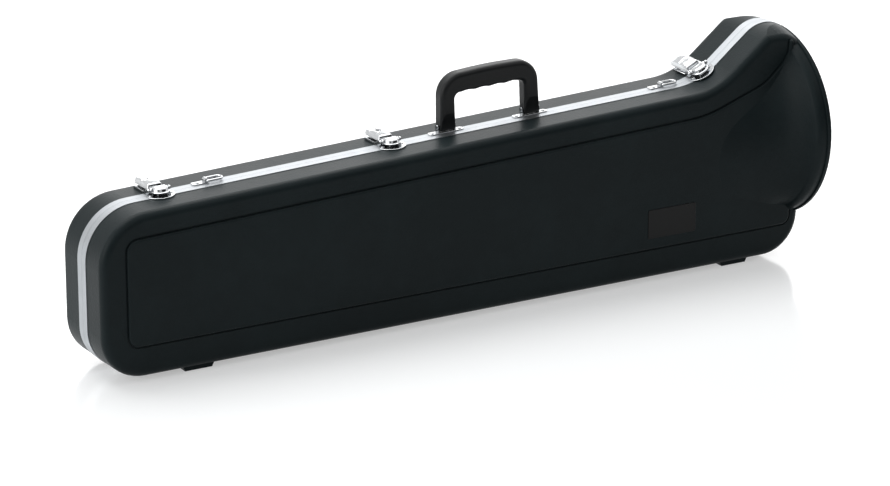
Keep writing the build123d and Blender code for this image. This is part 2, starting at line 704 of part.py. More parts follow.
def lock_plug():
    """Lock cylinder with a keyway, let into the middle lever."""
    bottom = PIVOT_Z + 0.3
    top = PIVOT_Z + CROWN_HEIGHT + 0.5
    plug = Pos(0, LOCK_Y, (bottom + top) / 2) * Cylinder(LOCK_RADIUS, top - bottom)
    plug = fillet(plug.edges().group_by(Axis.Z)[-1], 0.5)
    keyway = box_between((-KEYWAY_WIDTH / 2, LOCK_Y - KEYWAY_LENGTH / 2, bottom + 1.2),
                         (KEYWAY_WIDTH / 2, LOCK_Y + KEYWAY_LENGTH / 2, top + 1))
    return plug - keyway


def grip_outline():
    """The handle seen from the front: arched top, round shoulders, straight legs and underside."""
    half = HANDLE_WIDTH / 2
    inner = half - LEG_WIDTH
    foot_z = HANDLE_PIN_Z - LEG_END_RADIUS
    shoulder = HANDLE_HEIGHT - GRIP_ARCH
    wire = FilletPolyline(
        (-half, foot_z), (-half + LEG_LEAN, shoulder), (0, HANDLE_HEIGHT), (half - LEG_LEAN, shoulder),
        (half, foot_z), (inner, foot_z), (inner, GRIP_UNDERSIDE), (-inner, GRIP_UNDERSIDE), (-inner, foot_z),
        radius=[0, GRIP_CORNER, GRIP_CREST, GRIP_CORNER, 0, 0, GRIP_INNER_CORNER, GRIP_INNER_CORNER, 0],
        close=True)
    return make_face(wire)


def finger_hollows():
    """Shallow rounded hollows for the fingers under the grip, in a row."""
    pitch = (HANDLE_WIDTH - 2 * LEG_WIDTH - 2 * GRIP_INNER_CORNER) / FINGERS
    radius = (pitch**2 / 4 + FINGER_DEPTH**2) / (2 * FINGER_DEPTH)
    row = []
    for i in range(FINGERS):
        x = (i - (FINGERS - 1) / 2) * pitch
        z = GRIP_UNDERSIDE + FINGER_DEPTH - radius
        row.append(Pos(x, 0, z) * Rot(90, 0, 0) * Cylinder(radius, 2 * GRIP_DEPTH))
    return row


def handle_grip():
    """Moulded handle, in the frame of its seat, with round leg ends that clear the case."""
    block = slab(BODY * grip_outline(), -GRIP_DEPTH / 2, GRIP_DEPTH / 2)
    for end in (0, -1):
        block = fillet(block.faces().sort_by(Axis.Y)[end].edges(), GRIP_ROUND)
    for hollow in finger_hollows():
        block -= hollow & box_between((-HANDLE_WIDTH, -GRIP_DEPTH, GRIP_UNDERSIDE - 1),
                                      (HANDLE_WIDTH, GRIP_DEPTH, HANDLE_HEIGHT))
    top = HANDLE_HEIGHT + 5
    taper = HANDLE_PIN_Z + 16
    half = GRIP_DEPTH / 2
    side = Polyline((-LEG_END_RADIUS, HANDLE_PIN_Z), (LEG_END_RADIUS, HANDLE_PIN_Z), (half, taper), (half, top),
                    (-half, top), (-half, taper), close=True)
    width = HANDLE_WIDTH / 2 + 5
    envelope = section_slab(side, -width, width) + rod(LEG_END_RADIUS, -width, width, 0, HANDLE_PIN_Z)
    handle = block & envelope
    return handle - rod(HANDLE_PIN_RADIUS + RUNNING_FIT, -width, width, 0, HANDLE_PIN_Z)


def leg_x(side):
    """Middle of a handle leg along the seam."""
    return side * (HANDLE_WIDTH - LEG_WIDTH) / 2


def handle_mount():
    """Mount plate with two upright loops for a leg's pin, centred on the leg."""
    plan = RectangleRounded(MOUNT_LENGTH, MOUNT_WIDTH, 3.5)
    plate = fillet(plan_slab(plan, 0, PLATE).edges().group_by(Axis.Z)[-1], 0.4)
    for side in (-1, 1):
        start = side * (LEG_WIDTH / 2 + SIDE_FIT)
        end = start + side * LOOP_THICKNESS
        stem = box_between((min(start, end), -LOOP_RADIUS, PLATE / 2), (max(start, end), LOOP_RADIUS, HANDLE_PIN_Z))
        plate += stem + rod(LOOP_RADIUS, min(start, end), max(start, end), 0, HANDLE_PIN_Z)
    plate -= rod(HANDLE_PIN_RADIUS + RUNNING_FIT, -LEG_WIDTH, LEG_WIDTH, 0, HANDLE_PIN_Z)
    for x in mount_rivets():
        plate -= rivet_hole(x, 0, PLATE + 1, PLATE + 2)
    return plate


def mount_rivets():
    """Rivets at the two ends of a handle mount."""
    return [side * (MOUNT_LENGTH / 2 - 4.6) for side in (-1, 1)]


def handle_pin():
    """Headed pin through both loops and one leg."""
    reach = LEG_WIDTH / 2 + SIDE_FIT + LOOP_THICKNESS
    pin = rod(HANDLE_PIN_RADIUS, -reach - 0.9, reach + 0.9, 0, HANDLE_PIN_Z)
    for side in (-1, 1):
        start = side * reach
        end = side * (reach + 0.9)
        pin += rod(HANDLE_PIN_RADIUS + 0.8, min(start, end), max(start, end), 0, HANDLE_PIN_Z)
    return pin


def strap_plate():
    """Strap plate with the rolled knuckle that holds the ring's bar; the bar is at x = 0."""
    outer = RING_WIRE + STRAP_KNUCKLE_WALL
    plan = Pos(-STRAP_PLATE_LENGTH / 2, 0) * RectangleRounded(STRAP_PLATE_LENGTH, MOUNT_WIDTH, 2.5)
    plate = plan_slab(plan, 0, PLATE)
    half = STRAP_KNUCKLE_LENGTH / 2
    barrel = Pos(0, 0, RING_AXIS_Z) * Rot(90, 0, 0) * Cylinder(outer, STRAP_KNUCKLE_LENGTH)
    web = box_between((-outer, -half, PLATE / 2), (0, half, RING_AXIS_Z))
    plate += barrel + web
    plate -= Pos(0, 0, RING_AXIS_Z) * Rot(90, 0, 0) * Cylinder(RING_WIRE + RUNNING_FIT, 4 * MOUNT_WIDTH)
    return plate - rivet_hole(-STRAP_PLATE_LENGTH * 0.62, 0, PLATE + 1, PLATE + 2)


def strap_ring():
    """D-shaped wire ring lying along the seam, its bar at x = 0."""
    half = RING_WIDTH / 2 - RING_WIRE
    bend = half * 0.92
    path = FilletPolyline((0, -half), (RING_REACH, -half), (RING_REACH, half), (0, half),
                          radius=[1.6, bend, bend, 1.6], close=True)
    wire = sweep(Plane(origin=(RING_REACH / 2 - 2, -half, 0), z_dir=(1, 0, 0)) * Circle(RING_WIRE), path=path)
    return Pos(0, 0, RING_AXIS_Z) * wire


def knuckle_spans(lid):
    """Stretches of a hinge's length that hold the lid's knuckle or the body's two."""
    middle = HINGE_LENGTH * 0.19
    if lid:
        return [(-middle + KNUCKLE_GAP / 2, middle - KNUCKLE_GAP / 2)]
    end = HINGE_LENGTH / 2
    return [(-end, -middle - KNUCKLE_GAP / 2), (middle + KNUCKLE_GAP / 2, end)]


def hinge_leaf(x, lid):
    """A hinge leaf under the valance with its knuckles, drawn on the lid side."""
    top = FOOT_HEIGHT - VALANCE_PROUD
    bottom = top - LEAF_THICKNESS
    half = HINGE_LENGTH / 2
    leaf = box_between((x - half, -LEAF_WIDTH, bottom), (x + half, -LEAF_NOTCH, top))
    for start, end in knuckle_spans(lid):
        leaf += box_between((x + start, -LEAF_NOTCH - 0.1, bottom), (x + end, 0, top))
        leaf += rod(KNUCKLE_RADIUS, x + start, x + end, 0, HINGE_AXIS_Z)
    leaf -= rod(HINGE_PIN_RADIUS + RUNNING_FIT, x - half - 1, x + half + 1, 0, HINGE_AXIS_Z)
    for shift in leaf_rivets():
        leaf -= Pos(x + shift, -LEAF_WIDTH * 0.62, bottom) * Cylinder(RIVET_RADIUS + RUNNING_FIT, 4)
    return leaf


def leaf_rivets():
    """Rivets of a hinge leaf, as shifts along its length."""
    return [-HINGE_LENGTH * 0.36, HINGE_LENGTH * 0.36]


def hinge_pin(x):
    """Hinge pin, flush with the outer knuckles."""
    half = HINGE_LENGTH / 2
    return rod(HINGE_PIN_RADIUS, x - half, x + half, 0, HINGE_AXIS_Z)


def bell_cavity():
    """Room for the bell and its tube, turned about the bell axis."""
    end = BELL_X - RIM_SETBACK - WALL - LINER_FIT
    start = BELL_X - BELL_SECTION + BOW_SPREAD / 2
    profile = [(start, 0), (end, 0)]
    profile += [(end - back, BELL_MOUTH_RADIUS * share) for back, share in BELL_PROFILE]
    profile += [(end - BELL_TAPER, BELL_TUBE_RADIUS), (start, BELL_TUBE_RADIUS)]
    return turned(profile)


def groove_loop(x, z, length, spread, width, depth):
    """A U-shaped groove for two parallel tubes and their bow, open to the seam on the lid side."""
    outer_size = (length, spread + width)
    outer = Pos(x + length / 2, z) * RectangleRounded(*outer_size, (spread + width) / 2 - 0.5)
    inner_length = length - 2 * width
    inner = Pos(x + length / 2, z) * RectangleRounded(inner_length, spread - width, (spread - width) / 2 - 0.5)
    return slab(BODY * (outer - inner), -1, depth)


def liner():
    """Foam liner of one half before its wells are cut, on the lid side."""
    inset = WALL + SLOT_FIT + VALANCE_INNER + LINER_FIT
    block = tray(inset, SHELL_DEPTH - WALL - LINER_FIT)
    return block - box_between((TAIL_X, -LINER_SEAM, 0), (BELL_X, 10, 400)) - bell_cavity()


def body_liner():
    """Rear liner with wells for the bell section, the small parts and two mouthpieces."""
    block = liner()
    block -= groove_loop(BELL_X - BELL_SECTION, BELL_AXIS_Z - BOW_SPREAD / 2, BOW_LENGTH, BOW_SPREAD,
                         2 * BELL_TUBE_RADIUS, BELL_TUBE_RADIUS)
    depth = SHELL_DEPTH - WALL - WELL_FLOOR
    middle_z = FOOT_HEIGHT + WELL_RISE + WELL_HEIGHT / 2
    well = Pos(BELL_X - WELL_SETBACK + WELL_LENGTH / 2, middle_z) * RectangleRounded(WELL_LENGTH, WELL_HEIGHT, 8)
    block -= slab(BODY * well, -1, depth)
    for step in (0, 1):
        x = BELL_X - MOUTHPIECE_SETBACK + step * MOUTHPIECE_PITCH
        block -= slab(BODY * (Pos(x, middle_z) * Circle(MOUTHPIECE_RADIUS)), -1, depth)
    return rear(block)


def lid_liner():
    """Front liner with the U-shaped well for the slide."""
    length = CASE_LENGTH - SLIDE_TAIL_ROOM - SLIDE_BELL_ROOM
    depth = SHELL_DEPTH - WALL - SLIDE_FLOOR
    return liner() - groove_loop(TAIL_X + SLIDE_TAIL_ROOM, FOOT_HEIGHT + SLIDE_RISE, length, SLIDE_SPREAD,
                                 SLIDE_GROOVE, depth)


def badge_plan(fit, corner):
    """The badge's rounded outline on the lid's face, made larger by fit on each side."""
    shape = RectangleRounded(BADGE_LENGTH + 2 * fit, BADGE_HEIGHT + 2 * fit, corner)
    return BODY * (Pos(BELL_X - BADGE_SETBACK, FOOT_HEIGHT + BADGE_RISE) * shape)


def badge_plate():
    """Bare badge plate let into the lid's panel."""
    face = SHELL_DEPTH + PANEL_HEIGHT - BADGE_RECESS
    plate = slab(badge_plan(0, 2), face, face + BADGE_THICKNESS)
    return fillet(plate.faces().sort_by(Axis.Y)[0].edges(), 0.4)


def badge_recess():
    """The shallow recess that takes the badge plate."""
    face = SHELL_DEPTH + PANEL_HEIGHT
    return slab(badge_plan(BADGE_FIT, 2.2), face - BADGE_RECESS, face + 1)


def rivet_plan():
    """Every rivet on the top: which half it holds, its frame and its place there."""
    places = []
    for x in LATCH_XS:
        for at in base_rivets():
            places.append(("body", latch_seat(x), at))
        for at in keeper_rivets():
            places.append(("lid", latch_seat(x), at))
    for side in (-1, 1):
        for x in mount_rivets():
            places.append(("body", handle_seat() * Pos(leg_x(side), 0, 0), (x, 0)))
    for x in STRAP_XS:
        places.append(("body", strap_seat(x), (-STRAP_PLATE_LENGTH * 0.62, 0)))
    return places


def handle_seat():
    """Frame of the handle on the rear half of the valance."""
    return seat(HANDLE_X) * Pos(0, HANDLE_Y, 0)


def strap_seat(x):
    """Frame of a strap ring's bar on the rear half of the valance."""
    return seat(x) * Pos(0, HANDLE_Y, 0)


def joined(solids):
    """Several separate solids as one group."""
    return Compound(children=list(solids))


def build():
    """Make every piece in its place and return them by name."""
    parts = {}
    shell = moulded_shell()
    body_shell = rear(shell)
    lid_shell = shell - badge_recess()
    lid_valance = valance()
    body_valance = rear(lid_valance) - tongue(TONGUE_FIT)
    lid_valance = lid_valance + tongue(0)
    rivets = {"body": [], "lid": []}
    grip = PLATE + VALANCE_PROUD + WALL + 1
    for half, frame, (x, y) in rivet_plan():
        rivets[half].append(frame * rivet(x, y, PLATE, grip))
        hole = frame * rivet_hole(x, y, PLATE, grip + 1)
        if half == "body":
            body_valance -= hole
            body_shell -= hole
        else:
            lid_valance -= hole
            lid_shell -= hole
    leaf_face = FOOT_HEIGHT - VALANCE_PROUD - LEAF_THICKNESS
    leaf_frame = Rot(180, 0, 0)
    for x in HINGE_XS:
        for shift in leaf_rivets():
            for half, side in (("lid", -1), ("body", 1)):
                frame = Pos(x + shift, side * LEAF_WIDTH * 0.62, leaf_face) * leaf_frame
                short = LEAF_THICKNESS + VALANCE_SKIN
                rivets[half].append(frame * rivet(0, 0, 0, short))
                hole = frame * rivet_hole(0, 0, 0, short + 0.5)
                if half == "body":
                    body_valance -= hole
                else:
                    lid_valance -= hole
    parts["body_shell"] = body_shell
    parts["lid_shell"] = lid_shell
    for half, band in (("body", body_valance), ("lid", lid_valance)):
        parts[f"{half}_valance_main"] = band - bell_side(0)
        parts[f"{half}_valance_bell"] = band & bell_side(SPLICE_GAP)
    parts["body_liner"] = body_liner()
    parts["lid_liner"] = lid_liner()
    parts["badge_plate"] = badge_plate()
    parts["body_rivets"] = joined(rivets["body"])
    parts["lid_rivets"] = joined(rivets["lid"])
    parts["hinge_leaves_body"] = joined(rear(hinge_leaf(x, False)) for x in HINGE_XS)
    parts["hinge_leaves_lid"] = joined(hinge_leaf(x, True) for x in HINGE_XS)
    parts["hinge_pins"] = joined(hinge_pin(x) for x in HINGE_XS)
    for i, (name, x) in enumerate(zip(LATCH_NAMES, LATCH_XS)):
        frame = latch_seat(x)
        skirt = stand_off(x, KEEPER_WIDTH) - stand_off(x, BASE_WIDTH)
        parts[f"latch_base_{name}"] = frame * latch_base(skirt)
        parts[f"latch_pivots_{name}"] = joined(frame * pin for pin in pivot_pins())
        parts[f"latch_lever_{name}"] = frame * latch_lever(i == LOCKING_LATCH)
        parts[f"latch_claw_{name}"] = frame * latch_claw()
        parts[f"latch_claw_pin_{name}"] = frame * link_pin()
        parts[f"latch_keeper_{name}"] = frame * keeper()
        if i == LOCKING_LATCH:
            parts["lock_plug"] = frame * lock_plug()
    for side, name in ((-1, "tail"), (1, "bell")):
        leg = handle_seat() * Pos(leg_x(side), 0, 0)
        parts[f"handle_mount_{name}"] = leg * handle_mount()
        parts[f"handle_pin_{name}"] = leg * handle_pin()
    parts["handle_grip"] = handle_seat() * handle_grip()
    for name, x in zip(STRAP_NAMES, STRAP_XS):
        parts[f"strap_plate_{name}"] = strap_seat(x) * strap_plate()
        parts[f"strap_ring_{name}"] = strap_seat(x) * strap_ring()
    return parts


os.makedirs("parts", exist_ok=True)
for node, shape in build().items():
    export_step(shape, f"parts/{node}.step")
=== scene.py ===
"""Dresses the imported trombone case: moulded shells, aluminium, plated hardware and plush."""

import logging
import math
from collections.abc import Callable
from dataclasses import dataclass, field
from enum import Enum

import bmesh
import bpy
import numpy as np
from mathutils import Matrix, Vector


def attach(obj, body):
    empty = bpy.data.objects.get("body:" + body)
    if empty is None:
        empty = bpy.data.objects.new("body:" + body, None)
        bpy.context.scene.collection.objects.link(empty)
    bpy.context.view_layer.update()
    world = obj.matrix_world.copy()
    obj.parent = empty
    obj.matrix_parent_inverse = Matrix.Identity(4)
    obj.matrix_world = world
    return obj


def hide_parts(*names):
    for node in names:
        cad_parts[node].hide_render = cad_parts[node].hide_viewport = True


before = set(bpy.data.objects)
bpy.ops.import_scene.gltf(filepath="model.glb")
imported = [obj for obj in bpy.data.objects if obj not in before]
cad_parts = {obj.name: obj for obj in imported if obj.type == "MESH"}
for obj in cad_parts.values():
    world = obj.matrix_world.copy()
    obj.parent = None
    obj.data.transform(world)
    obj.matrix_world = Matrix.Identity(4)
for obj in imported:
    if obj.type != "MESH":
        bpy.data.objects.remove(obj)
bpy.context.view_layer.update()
LOG = logging.getLogger("trombone_case")
MM = 0.001
WHITE = (1.0, 1.0, 1.0, 1.0)


def linear(hex_colour: str) -> tuple[float, float, float, float]:
    """Turn an sRGB hex colour into the linear values that Blender's sockets take.

    Args:
        hex_colour: six hex digits after a hash sign.

    Returns:
        Red, green, blue and alpha in linear light.
    """
    values = [int(hex_colour[i:i + 2], 16) / 255 for i in (1, 3, 5)]
    red, green, blue = (v / 12.92 if v <= 0.04045 else ((v + 0.055) / 1.055) ** 2.4 for v in values)
    return red, green, blue, 1.0


def add_node(tree: bpy.types.NodeTree, kind: str, inputs: dict | None = None,
             **settings) -> bpy.types.Node:
    """Add a node with its settings, values and links.

    Args:
        tree: the node tree that gets the node.
        kind: Blender's name for the node type.
        inputs: for each input socket its value, or the output socket that feeds it.
        settings: the node's own properties.

    Returns:
        The new node.
    """
    node = tree.nodes.new(kind)
    for name, value in settings.items():
        setattr(node, name, value)
    for key, value in (inputs or {}).items():
        if isinstance(value, bpy.types.NodeSocket):
            tree.links.new(value, node.inputs[key])
        else:
            node.inputs[key].default_value = value
    return node


def new_material(name: str) -> tuple[bpy.types.Material, bpy.types.NodeTree]:
    """Make an empty node material and return it with its tree."""
    material = bpy.data.materials.new(name)
    material.use_nodes = True
    material.node_tree.nodes.clear()
    return material, material.node_tree


def finish_surface(tree: bpy.types.NodeTree, shader: bpy.types.Node) -> None:
    """Link a shader to the material's surface."""
    add_node(tree, "ShaderNodeOutputMaterial", {"Surface": shader.outputs[0]})


def per_metre(size_mm: float) -> float:
    """Return the texture scale at which a pattern's features have this size."""
    return 1 / (size_mm * MM)


def seen_directly(tree: bpy.types.NodeTree) -> bpy.types.NodeSocket:
    """Add the nodes that are 1 on what the camera, mirrors and glass see, and 0 on the rest.

    Args:
        tree: the node tree that gets them.

    Returns:
        The socket with that value.
    """
    path = add_node(tree, "ShaderNodeLightPath")
    mirror = add_node(tree, "ShaderNodeMath", {
        0: path.outputs["Is Camera Ray"], 1: path.outputs["Is Glossy Ray"]}, operation="MAXIMUM")
    seen = add_node(tree, "ShaderNodeMath", {
        0: mirror.outputs[0], 1: path.outputs["Is Transmission Ray"]}, operation="MAXIMUM")
    return seen.outputs[0]


@dataclass(frozen=True)
class MouldedPlastic:
    """Injection or vacuum moulded ABS: a dark even colour under a fine pebbled grain of the mould.

    The grain of the real mould is about half a millimetre; it is drawn coarser so that it shows.
    """

    name: str
    colour: str
    worn_colour: str
    roughness: float
    ior: float
    grain_mm: float
    grain_height_mm: float
    specular: float
    scuff_roughness: float = 0.08
    mark_mm: float = 1000 / 9

    def build(self) -> bpy.types.Material:
        """Make the material from cells for the grain and broad noise for handling marks."""
        material, tree = new_material(self.name)
        place = add_node(tree, "ShaderNodeTexCoord").outputs["Object"]
        cells = add_node(tree, "ShaderNodeTexVoronoi", {
            "Vector": place, "Scale": per_metre(self.grain_mm)}, feature="SMOOTH_F1")
        handling = add_node(tree, "ShaderNodeTexNoise", {
            "Vector": place, "Scale": per_metre(self.mark_mm), "Detail": 5.0, "Roughness": 0.62})
        worn = add_node(tree, "ShaderNodeMapRange", {
            "Value": handling.outputs["Fac"], "From Min": 0.42, "From Max": 0.72})
        colour = add_node(tree, "ShaderNodeMix", {
            "Factor": worn.outputs["Result"], "A": linear(self.colour),
            "B": linear(self.worn_colour)}, data_type="RGBA")
        gloss = add_node(tree, "ShaderNodeMapRange", {
            "Value": handling.outputs["Fac"], "From Min": 0.3, "From Max": 0.7,
            "To Min": self.roughness, "To Max": self.roughness + self.scuff_roughness})
        bump = add_node(tree, "ShaderNodeBump", {
            "Height": cells.outputs["Distance"], "Strength": 0.75,
            "Distance": self.grain_height_mm * MM})
        shader = add_node(tree, "ShaderNodeBsdfPrincipled", {
            "Base Color": colour.outputs["Result"], "Roughness": gloss.outputs["Result"],
            "IOR": self.ior, "Specular IOR Level": self.specular, "Normal": bump.outputs["Normal"]})
        finish_surface(tree, shader)
        return material


@dataclass(frozen=True)
class DrawnAluminium:
    """Anodised aluminium section: pale grey, with fine lines along its length and painted shade for
    shallow ribs.

    Lines and rib shade keep their distance from the seam all round, so they only change across the
    band. The shade of a rib is a painted darker line that fades in over the last part of each
    rib_mm.
    """

    name: str
    colour: str
    line_colour: str
    roughness: float
    line_mm: float
    rib_mm: float = 1.3
    rib_start: float = 0.55
    rib_shade: float = 0.13
    rib_shade_colour: str = "#2c2f31"
    spot_mm: float = 1000 / 60
    line_height_mm: float = 0.05

    def build(self) -> bpy.types.Material:
        """Make the material from one-way noise and painted rib shade across the band, and faint
        spots.
        """
        material, tree = new_material(self.name)
        place = add_node(tree, "ShaderNodeTexCoord").outputs["Object"]
        across = add_node(tree, "ShaderNodeSeparateXYZ", {"Vector": place})
        lines = add_node(tree, "ShaderNodeTexNoise", {
            "W": across.outputs["Y"], "Scale": per_metre(self.line_mm), "Detail": 2.0},
            noise_dimensions="1D")
        spots = add_node(tree, "ShaderNodeTexNoise", {
            "Vector": place, "Scale": per_metre(self.spot_mm), "Detail": 4.0})
        drawn = add_node(tree, "ShaderNodeMix", {
            "Factor": lines.outputs["Fac"], "A": linear(self.colour),
            "B": linear(self.line_colour)}, data_type="RGBA")
        off_seam = add_node(tree, "ShaderNodeMath", {0: across.outputs["Y"]}, operation="ABSOLUTE")
        wave = add_node(tree, "ShaderNodeMath", {
            0: off_seam.outputs[0], 1: self.rib_mm * MM}, operation="PINGPONG")
        # Painted shade: a darker line near the end of each rib step stands in for the shade along
        # the shallow ribs, which have no relief of their own.
        rib_shade_mask = add_node(tree, "ShaderNodeMapRange", {
            "Value": wave.outputs[0], "From Min": self.rib_mm * MM * self.rib_start,
            "From Max": self.rib_mm * MM, "To Max": self.rib_shade})
        colour = add_node(tree, "ShaderNodeMix", {
            "Factor": rib_shade_mask.outputs["Result"], "A": drawn.outputs["Result"],
            "B": linear(self.rib_shade_colour)}, data_type="RGBA")
        gloss = add_node(tree, "ShaderNodeMapRange", {
            "Value": spots.outputs["Fac"], "From Min": 0.3, "From Max": 0.7,
            "To Min": self.roughness - 0.05, "To Max": self.roughness + 0.08})
        bump = add_node(tree, "ShaderNodeBump", {
            "Height": lines.outputs["Fac"], "Strength": 0.25, "Distance": self.line_height_mm * MM})
        shader = add_node(tree, "ShaderNodeBsdfPrincipled", {
            "Base Color": colour.outputs["Result"], "Metallic": 1.0,
            "Roughness": gloss.outputs["Result"], "Normal": bump.outputs["Normal"]})
        finish_surface(tree, shader)
        return material


@dataclass(frozen=True)
class PlatedSteel:
    """Stamped steel under bright plating: a clear mirror with soft waves and dull spots."""

    name: str
    colour: str
    tarnish: str
    roughness: float
    dull_roughness: float
    wave_mm: float = 1000 / 140
    wave_height_mm: float = 0.3
    spot_mm: float = 1000 / 650

    def build(self) -> bpy.types.Material:
        """Make the material from two noises: broad for waves, small for dull spots."""
        material, tree = new_material(self.name)
        place = add_node(tree, "ShaderNodeTexCoord").outputs["Object"]
        waves = add_node(tree, "ShaderNodeTexNoise", {
            "Vector": place, "Scale": per_metre(self.wave_mm), "Detail": 1.0})
        spots = add_node(tree, "ShaderNodeTexNoise", {
            "Vector": place, "Scale": per_metre(self.spot_mm), "Detail": 3.0})
        dull = add_node(tree, "ShaderNodeMapRange", {
            "Value": spots.outputs["Fac"], "From Min": 0.45, "From Max": 0.75,
            "To Min": self.roughness, "To Max": self.dull_roughness})
        shade = add_node(tree, "ShaderNodeMapRange", {
            "Value": waves.outputs["Fac"], "From Min": 0.5, "From Max": 0.8, "To Max": 0.5})
        colour = add_node(tree, "ShaderNodeMix", {
            "Factor": shade.outputs["Result"], "A": linear(self.colour),
            "B": linear(self.tarnish)}, data_type="RGBA")
        bump = add_node(tree, "ShaderNodeBump", {
            "Height": waves.outputs["Fac"], "Strength": 0.15, "Distance": self.wave_height_mm * MM})
        shader = add_node(tree, "ShaderNodeBsdfPrincipled", {
            "Base Color": colour.outputs["Result"], "Metallic": 1.0,
            "Roughness": dull.outputs["Result"], "Normal": bump.outputs["Normal"]})
        finish_surface(tree, shader)
        return material


@dataclass(frozen=True)
class CrushedPlush:
    """Short pile plush: dark, with painted sheen in lighter patches where the pile lies over, and a
    soft sheen from the shader.
    """

    name: str = "crushed_plush"
    colour: str = "#26262b"
    laid_sheen_colour: str = "#3a3a41"
    patch_mm: float = 1000 / 38
    pile_mm: float = 1.3
    pile_height_mm: float = 0.8

    def build(self) -> bpy.types.Material:
        """Make the material from patch noise for the painted sheen of the laid pile and fine noise
        for its tufts.
        """
        material, tree = new_material(self.name)
        place = add_node(tree, "ShaderNodeTexCoord").outputs["Object"]
        patches = add_node(tree, "ShaderNodeTexNoise", {
            "Vector": place, "Scale": per_metre(self.patch_mm), "Detail": 4.0, "Distortion": 1.2})
        tufts = add_node(tree, "ShaderNodeTexNoise", {
            "Vector": place, "Scale": per_metre(self.pile_mm), "Detail": 3.0, "Roughness": 0.7})
        # Painted sheen: lighter patches of base colour stand in for the light that the laid pile
        # catches.
        laid_sheen = add_node(tree, "ShaderNodeMapRange", {
            "Value": patches.outputs["Fac"], "From Min": 0.4, "From Max": 0.65})
        colour = add_node(tree, "ShaderNodeMix", {
            "Factor": laid_sheen.outputs["Result"], "A": linear(self.colour),
            "B": linear(self.laid_sheen_colour)}, data_type="RGBA")
        bump = add_node(tree, "ShaderNodeBump", {
            "Height": tufts.outputs["Fac"], "Strength": 0.9, "Distance": self.pile_height_mm * MM})
        shader = add_node(tree, "ShaderNodeBsdfPrincipled", {
            "Base Color": colour.outputs["Result"], "Roughness": 0.95, "Specular IOR Level": 0.15,
            "Sheen Weight": 0.5, "Sheen Roughness": 0.4, "Normal": bump.outputs["Normal"]})
        finish_surface(tree, shader)
        return material


@dataclass(frozen=True)
class StudioSweep:
    """Glossy white floor sheet: lit white for the camera and mirrors, it still takes a shadow."""

    name: str = "white_floor_sheet"
    colour: str = "#dfe1e2"
    glow: float = 0.42
    roughness: float = 0.14

    def build(self) -> bpy.types.Material:
        """Make the material: a glossy white sheet plus an even light that only what looks sees."""
        material, tree = new_material(self.name)
        amount = add_node(tree, "ShaderNodeMath", {0: seen_directly(tree), 1: self.glow},
                          operation="MULTIPLY")
        sheet = add_node(tree, "ShaderNodeBsdfPrincipled", {
            "Base Color": linear(self.colour), "IOR": 1.45, "Roughness": self.roughness})
        white = add_node(tree, "ShaderNodeEmission", {
            "Color": WHITE, "Strength": amount.outputs[0]})
        mix = add_node(tree, "ShaderNodeAddShader", {0: sheet.outputs[0], 1: white.outputs[0]})
        finish_surface(tree, mix)
        return material


@dataclass(frozen=True)
class StudioCurtain:
    """Black wool curtain, unseen by the camera: the dark that the plating and the floor reflect."""

    name: str = "black_wool_curtain"
    colour: str = "#141415"

    def build(self) -> bpy.types.Material:
        """Make the material: a dark matt cloth."""
        material, tree = new_material(self.name)
        cloth = add_node(tree, "ShaderNodeBsdfPrincipled", {
            "Base Color": linear(self.colour), "Roughness": 0.95})
        finish_surface(tree, cloth)
        return material


class Surface(Enum):
    """The finishes of this case."""

    SHELL = MouldedPlastic(name="moulded_abs_shell", colour="#1a2224", worn_colour="#20292b",
                           roughness=0.36, ior=1.48, grain_mm=1.7, grain_height_mm=0.22,
                           specular=0.1)
    GRIP = MouldedPlastic(name="moulded_grip", colour="#121415", worn_colour="#17191a",
                          roughness=0.34, ior=1.46, grain_mm=1.4, grain_height_mm=0.12,
                          specular=0.25)
    BADGE = MouldedPlastic(name="smooth_abs_plate", colour="#0e0f10", worn_colour="#121313",
                           roughness=0.24, ior=1.46, grain_mm=2.4, grain_height_mm=0.03,
                           specular=0.2)
    VALANCE = DrawnAluminium(name="anodised_aluminium", colour="#b7babd", line_colour="#a0a4a8",
                             roughness=0.42, line_mm=0.9)
    HARDWARE = PlatedSteel(name="bright_chrome_plate", colour="#cbcdcf", tarnish="#aeb1b4",
                           roughness=0.09, dull_roughness=0.2)
    LOCK = PlatedSteel(name="lock_chrome_plate", colour="#c9cbce", tarnish="#a9acb0",
                       roughness=0.16, dull_roughness=0.3)
    HINGE = PlatedSteel(name="nickel_plate", colour="#c6c4bd", tarnish="#a29f96",
                        roughness=0.2, dull_roughness=0.36)
    PLUSH = CrushedPlush()


def dress(names: list[str], material: bpy.types.Material) -> None:
    """Give CAD nodes a material in all their slots."""
    for name in names:
        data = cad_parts[name].data
        data.materials.clear()
        data.materials.append(material)


@dataclass
class CaseShells:
    """The two moulded halves with their bare badge plate."""

    shell_nodes: tuple[str, ...] = ("body_shell", "lid_shell")

    def dress(self) -> None:
        """Give both shells their grained plastic and the plate its smooth one."""
        dress(list(self.shell_nodes), Surface.SHELL.value.build())
        dress(["badge_plate"], Surface.BADGE.value.build())


@dataclass
class SeamMetal:
    """The aluminium valances and the hinges between them."""

    valances: tuple[str, ...] = ("body_valance_main", "body_valance_bell",
                                 "lid_valance_main", "lid_valance_bell")
    hinges: tuple[str, ...] = ("hinge_leaves_body", "hinge_leaves_lid", "hinge_pins")

    def dress(self) -> None:
        """Give the valances drawn aluminium and the hinges nickel."""
        dress(list(self.valances), Surface.VALANCE.value.build())
        dress(list(self.hinges), Surface.HINGE.value.build())


